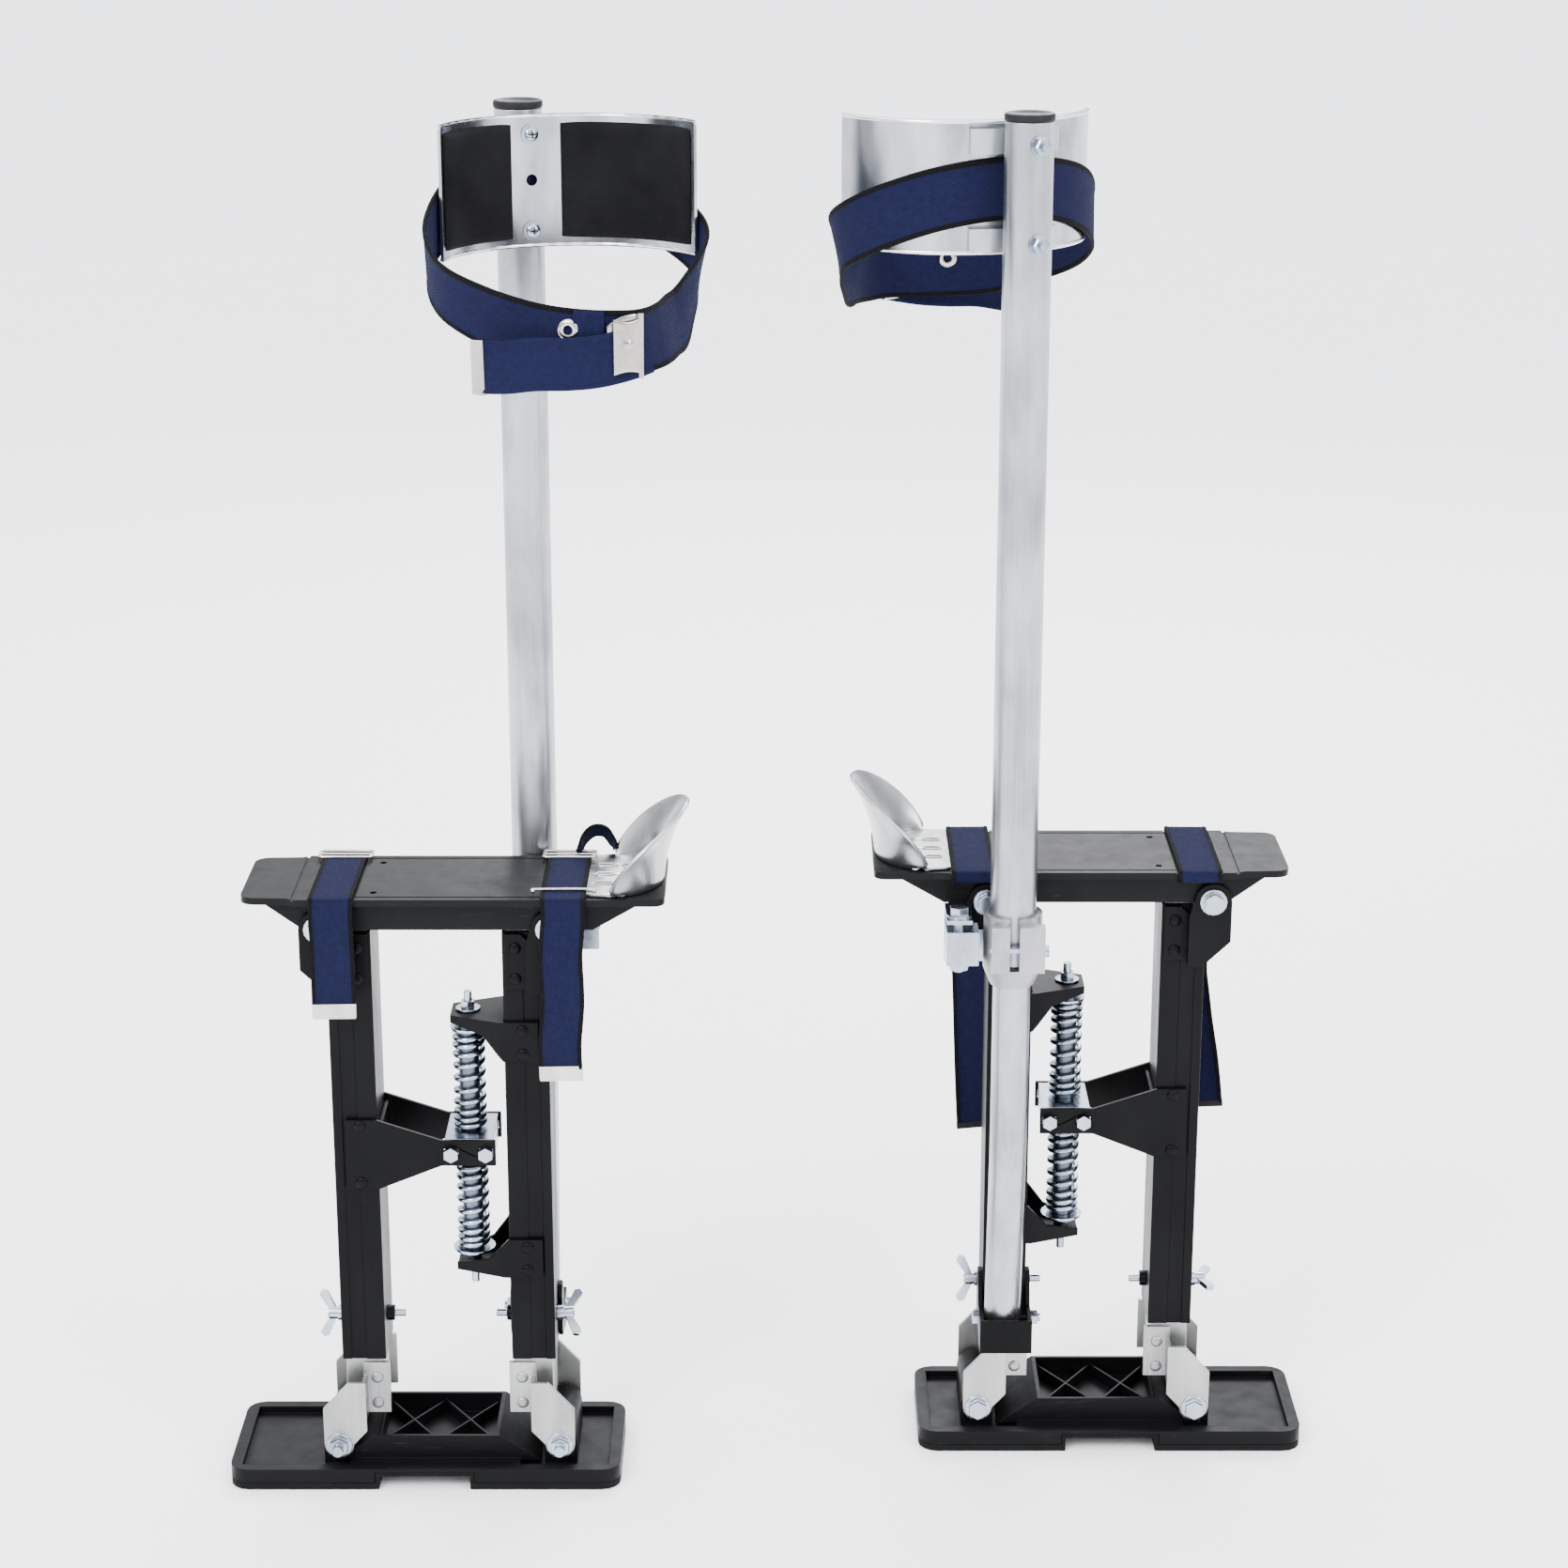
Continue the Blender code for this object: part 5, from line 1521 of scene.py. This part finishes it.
@dataclass
class FootStrap:
    """One of the two straps over the foot plate: bound webbing, anchor bar and crimped tip."""

    node: str
    hang: dict[Side, Sequence[tuple[float, float, float, float]]]
    width: float = 31 * MM
    thick: float = 1.5 * MM

    def build(self, stilt: Stilt) -> None:
        """Makes the strap with its metal ends.

        Args:
            stilt: The stilt.
        """
        low, _ = stilt.box(self.node)
        _, plate_high = stilt.box("foot_plate")
        x = low.x + self.width / 2
        top = plate_high.z + 1.3 * MM
        edge = plate_high.y + 1.6 * MM
        under = plate_high.z - 6.6 * MM
        route = [
            (x, -0.036, under, 0.0),
            (x, -edge + 2.5 * MM, under, 0.0),
            (x, -edge + 0.3 * MM, under + 1.2 * MM, 0.0),
            (x, -edge + 0.1 * MM, top - 1.8 * MM, 0.0),
            (x, -edge + 2.2 * MM, top, 0.0),
            (x, -0.030, top + 0.3 * MM, 0.0),
            (x, 0.0, top + 0.5 * MM, 0.0),
            (x, 0.030, top + 0.3 * MM, 0.0),
            (x, edge - 1.5 * MM, top + 0.1 * MM, 0.0),
            (x, edge + 1.0 * MM, top - 2.4 * MM, 0.0),
        ]
        start_z = top - 2.4 * MM
        tail_low = low.z
        for share, aside, off, twist in self.hang[stilt.side]:
            z = start_z + (tail_low - start_z) * share
            route.append((x + aside, edge + off, z, twist))
        points = blended(route, 7)
        path = [Vector(p[:3]) for p in points]
        across, up = [], []
        for i, p in enumerate(points):
            after, before = path[min(i + 1, len(path) - 1)], path[max(i - 1, 0)]
            along = (after - before).normalized()
            side = Matrix.Rotation(math.radians(p[3]), 3, along) @ Vector((1.0, 0.0, 0.0))
            side = (side - along * side.dot(along)).normalized()
            across.append(side)
            up.append(along.cross(side))
        shape = Shape()
        shape.sweep(path, across, up, strap_section(self.width, self.thick, 3.0 * MM))
        webbing = shape.written(self.node)
        stilt.put(webbing, self.node + "_webbing", "foot", "webbing_foot", (self.node,), 60.0)
        if stilt.side is Side.RIGHT:
            tip = crimp(path[-4:], across[-1], self.width + 0.4 * MM, 2.6 * MM, 3.5 * MM)
            stilt.put(tip.written("tip"), self.node + "_bound_end", "foot", "cap", (), 35.0)
            return
        tip = crimp(path[-4:], across[-1], self.width - 0.2 * MM, 3.2 * MM, 10 * MM)
        stilt.put(tip.written("tip"), self.node + "_tip", "foot", "nickel", (), 35.0)
        self.anchor(stilt, x, -edge + 7 * MM, top + 1.6 * MM)

    def anchor(self, stilt: Stilt, x: float, y: float, z: float) -> None:
        """The ladder buckle that lies on the strap at the plate's outer edge.

        Args:
            stilt: The stilt.
            x: The strap's middle.
            y: The buckle's middle.
            z: The height that it lies at.
        """
        half = self.width / 2 + 3.2 * MM
        reach = 7 * MM
        loop = []
        for corner_x, corner_y, first in ((1, 1, 0), (-1, 1, 90), (-1, -1, 180), (1, -1, 270)):
            for k in range(6):
                turn = math.radians(first + 18 * k)
                loop.append(Vector((x + corner_x * (half - 2 * MM) + 2 * MM * math.cos(turn),
                                    y + corner_y * (reach - 2 * MM) + 2 * MM * math.sin(turn), z)))
        wire = Shape()
        wire.tube(loop, 1.25 * MM, 10, closed=True)
        wire.tube([Vector((x - half, y, z)), Vector((x + half, y, z))], 1.15 * MM, 10)
        stilt.put(wire.written("buckle"), self.node + "_buckle", "foot", "nickel", (), 50.0)


class FootStraps:
    """The toe and ankle straps, with the way that each loose end hangs."""

    toe = FootStrap(
        "toe_strap",
        {
            Side.RIGHT: (
                (0.08, 0.5 * MM, 3.0 * MM, -6.0),
                (0.22, 6.0 * MM, 4.0 * MM, -22.0),
                (0.36, 11.0 * MM, 5.5 * MM, -30.0),
                (0.50, 6.0 * MM, 5.0 * MM, -8.0),
                (0.64, 10.0 * MM, 3.5 * MM, 20.0),
                (0.82, 17.0 * MM, 4.5 * MM, 24.0),
                (1.00, 21.0 * MM, 3.0 * MM, 10.0),
            ),
            Side.LEFT: (
                (0.15, 0.3 * MM, 3.0 * MM, 0.0),
                (0.45, -0.5 * MM, 4.5 * MM, 4.0),
                (0.75, -0.3 * MM, 4.0 * MM, -3.0),
                (1.00, 0.0 * MM, 3.0 * MM, -4.0),
            ),
        },
    )
    ankle = FootStrap(
        "ankle_strap",
        {
            Side.RIGHT: (
                (0.08, 0.5 * MM, 2.5 * MM, 4.0),
                (0.28, 3.0 * MM, 4.5 * MM, 16.0),
                (0.50, 6.0 * MM, 5.0 * MM, 22.0),
                (0.75, 9.0 * MM, 4.5 * MM, 10.0),
                (1.00, 12.0 * MM, 3.0 * MM, -6.0),
            ),
            Side.LEFT: (
                (0.10, 0.0 * MM, 2.5 * MM, 0.0),
                (0.30, 2.0 * MM, 4.0 * MM, -6.0),
                (0.55, 1.0 * MM, 5.0 * MM, 5.0),
                (0.80, 3.5 * MM, 4.0 * MM, 8.0),
                (1.00, 3.0 * MM, 3.0 * MM, 2.0),
            ),
        },
    )

    def build(self, stilt: Stilt) -> None:
        """Makes both straps and the small hardware beside them.

        Args:
            stilt: The stilt.
        """
        self.toe.build(stilt)
        self.ankle.build(stilt)
        if stilt.side is Side.LEFT:
            self.wire_loop(stilt)
            self.heel_keeper(stilt)

    def wire_loop(self, stilt: Stilt) -> None:
        """The bent wire that the ankle strap's end is drawn through, lying at the plate's inner edge.

        Args:
            stilt: The stilt.
        """
        low, _ = stilt.box("ankle_strap")
        _, plate_high = stilt.box("foot_plate")
        x = low.x + self.ankle.width / 2
        y, z = plate_high.y - 12 * MM, plate_high.z + 3.6 * MM
        half = 21 * MM
        points = [(x - half, y + 3 * MM, z - 0.8 * MM), (x - half - 1 * MM, y, z)]
        points += [(x - half + 4 * MM, y - 1 * MM, z), (x, y - 0.4 * MM, z + 0.4 * MM)]
        points += [(x + half - 4 * MM, y - 1 * MM, z), (x + half + 1 * MM, y, z)]
        points += [(x + half, y + 3.4 * MM, z - 0.8 * MM)]
        shape = Shape()
        shape.tube(blended(points, 6), 1.1 * MM, 10)
        stilt.put(shape.written("wire"), "ankle_wire", "foot", "nickel", (), 50.0)

    def heel_keeper(self, stilt: Stilt) -> None:
        """The short loop of webbing that stands up beside the heel cup on the outer side.

        Args:
            stilt: The stilt.
        """
        _, plate_high = stilt.box("foot_plate")
        z = plate_high.z
        y = -plate_high.y
        route = [(-0.098, y + 4 * MM, z + 3 * MM), (-0.102, y - 1 * MM, z + 12 * MM)]
        route += [(-0.109, y - 3 * MM, z + 18 * MM), (-0.117, y - 3 * MM, z + 17 * MM)]
        route += [(-0.123, y - 1.5 * MM, z + 9 * MM), (-0.1245, y, z + 5 * MM)]
        path = blended(route, 8)
        across, up = [], []
        for i, _ in enumerate(path):
            along = (path[min(i + 1, len(path) - 1)] - path[max(i - 1, 0)]).normalized()
            side = Vector((0.0, 0.55, 1.0))
            side = (side - along * side.dot(along)).normalized()
            across.append(side)
            up.append(along.cross(side))
        shape = Shape()
        shape.sweep(path, across, up, strap_section(12 * MM, 1.5 * MM, 2.0 * MM))
        stilt.put(shape.written("keeper"), "heel_keeper_loop", "foot", "webbing_keeper", (), 60.0)


def all_finishes() -> dict[str, Any]:
    """Every finish with the material that it makes, by name."""
    even, wide = (220.0, 220.0, 220.0), (240.0, 240.0, 240.0)
    binding = (0.003, 0.003, 0.0035)
    made = {
        "moulded": Moulded(
            "moulded_sole", "black_plastic", (0.0030, 0.0030, 0.0035), (0.022, 0.022, 0.024), (0.36, 0.52)
        ),
        "moulded_plate": Moulded(
            "moulded_plate", "black_plastic", (0.0040, 0.0042, 0.0045), (0.030, 0.030, 0.031), (0.32, 0.48)
        ),
        "cap": Moulded(
            "moulded_cap", "black_plastic", (0.012, 0.012, 0.014), (0.03, 0.03, 0.03), (0.40, 0.55)
        ),
        "tread": Moulded(
            "tread_rubber", "rubber", (0.003, 0.003, 0.003), (0.016, 0.015, 0.014), (0.60, 0.80), 0.6, 0.1
        ),
        "paint": Painted(
            "satin_paint", "black_paint", (0.0015, 0.0015, 0.0018), (0.005, 0.005, 0.0055)
        ),
        "tube_alloy": Metal(
            "drawn_tube", "aluminium", (0.46, 0.48, 0.50), (0.20, 0.21, 0.23), (0.24, 0.40)
        ),
        "leg_alloy": Metal(
            "drawn_leg", "aluminium", (0.44, 0.44, 0.43), (0.21, 0.21, 0.21), (0.28, 0.46)
        ),
        # The band's long, coarse dark and bright streaks are mostly painted reflection.
        "band_alloy": Metal(
            "rolled_band", "aluminium", (0.54, 0.55, 0.57), (0.18, 0.19, 0.21), (0.14, 0.26),
            (60.0, 60.0, 4.0),
        ),
        # The lips are a brighter copy of the band's aluminium: a painted highlight on the rolled edges.
        "lip_painted_highlight": Metal(
            "rolled_lip_painted_highlight", "aluminium", (0.86, 0.86, 0.86), (0.78, 0.78, 0.78), (0.16, 0.26)
        ),
        "cup_alloy": Metal(
            "pressed_cup", "aluminium", (0.50, 0.50, 0.50), (0.22, 0.23, 0.24), (0.18, 0.36),
            (70.0, 70.0, 12.0),
        ),
        "cast_alloy": Metal(
            "cast_alloy", "cast_aluminium", (0.40, 0.40, 0.40), (0.22, 0.22, 0.23), (0.34, 0.52),
            (160.0, 160.0, 160.0), 0.08, 0.4,
        ),
        "zinc": Metal(
            "bright_zinc", "zinc", (0.44, 0.50, 0.58), (0.20, 0.22, 0.26), (0.14, 0.30), even
        ),
        "zinc_dark": Metal(
            "dull_zinc", "zinc", (0.16, 0.18, 0.22), (0.08, 0.09, 0.11), (0.30, 0.45), even
        ),
        "nickel": Metal(
            "nickel_plate", "nickel", (0.62, 0.59, 0.55), (0.30, 0.28, 0.26), (0.12, 0.26), wide
        ),
        "foam": Foam("black_foam", "foam", (0.0035, 0.0035, 0.004), (0.008, 0.008, 0.009)),
        "webbing_calf": Webbing(
            "webbing_calf", "webbing", (0.013, 0.015, 0.058), (0.0018, 0.002, 0.009), binding, 42 * MM
        ),
        "webbing_foot": Webbing(
            "webbing_foot", "webbing", (0.012, 0.014, 0.054), (0.0018, 0.002, 0.008), binding,
            31 * MM, 3.0 * MM,
        ),
        "webbing_keeper": Webbing(
            "webbing_keeper", "webbing", (0.010, 0.012, 0.048), (0.0018, 0.002, 0.008), binding,
            12 * MM, 2.0 * MM,
        ),
    }
    return {name: (finish, finish.make()) for name, finish in made.items()}


def clear_scene() -> None:
    """Removes whatever the file opened with."""
    for old in list(bpy.data.objects):
        bpy.data.objects.remove(old)


def main() -> None:
    """Loads the frame, dresses both stilts and sets the studio."""
    logging.basicConfig(level=logging.INFO, format="%(name)s: %(message)s")
    clear_scene()
    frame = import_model()
    studio = Studio()
    studio.camera()
    studio.lights()
    studio.floor()
    finishes = all_finishes()
    assemblies = (RigidParts(), Springs(), Rivets(), CalfPole(), CalfCuff(), HeelCup(), FootStraps())
    for side in Side:
        stilt = Stilt(side, frame, finishes)
        for assembly in assemblies:
            LOG.info("%s stilt: %s", side.value, type(assembly).__name__)
            assembly.build(stilt)


if __name__ == "__main__":
    main()
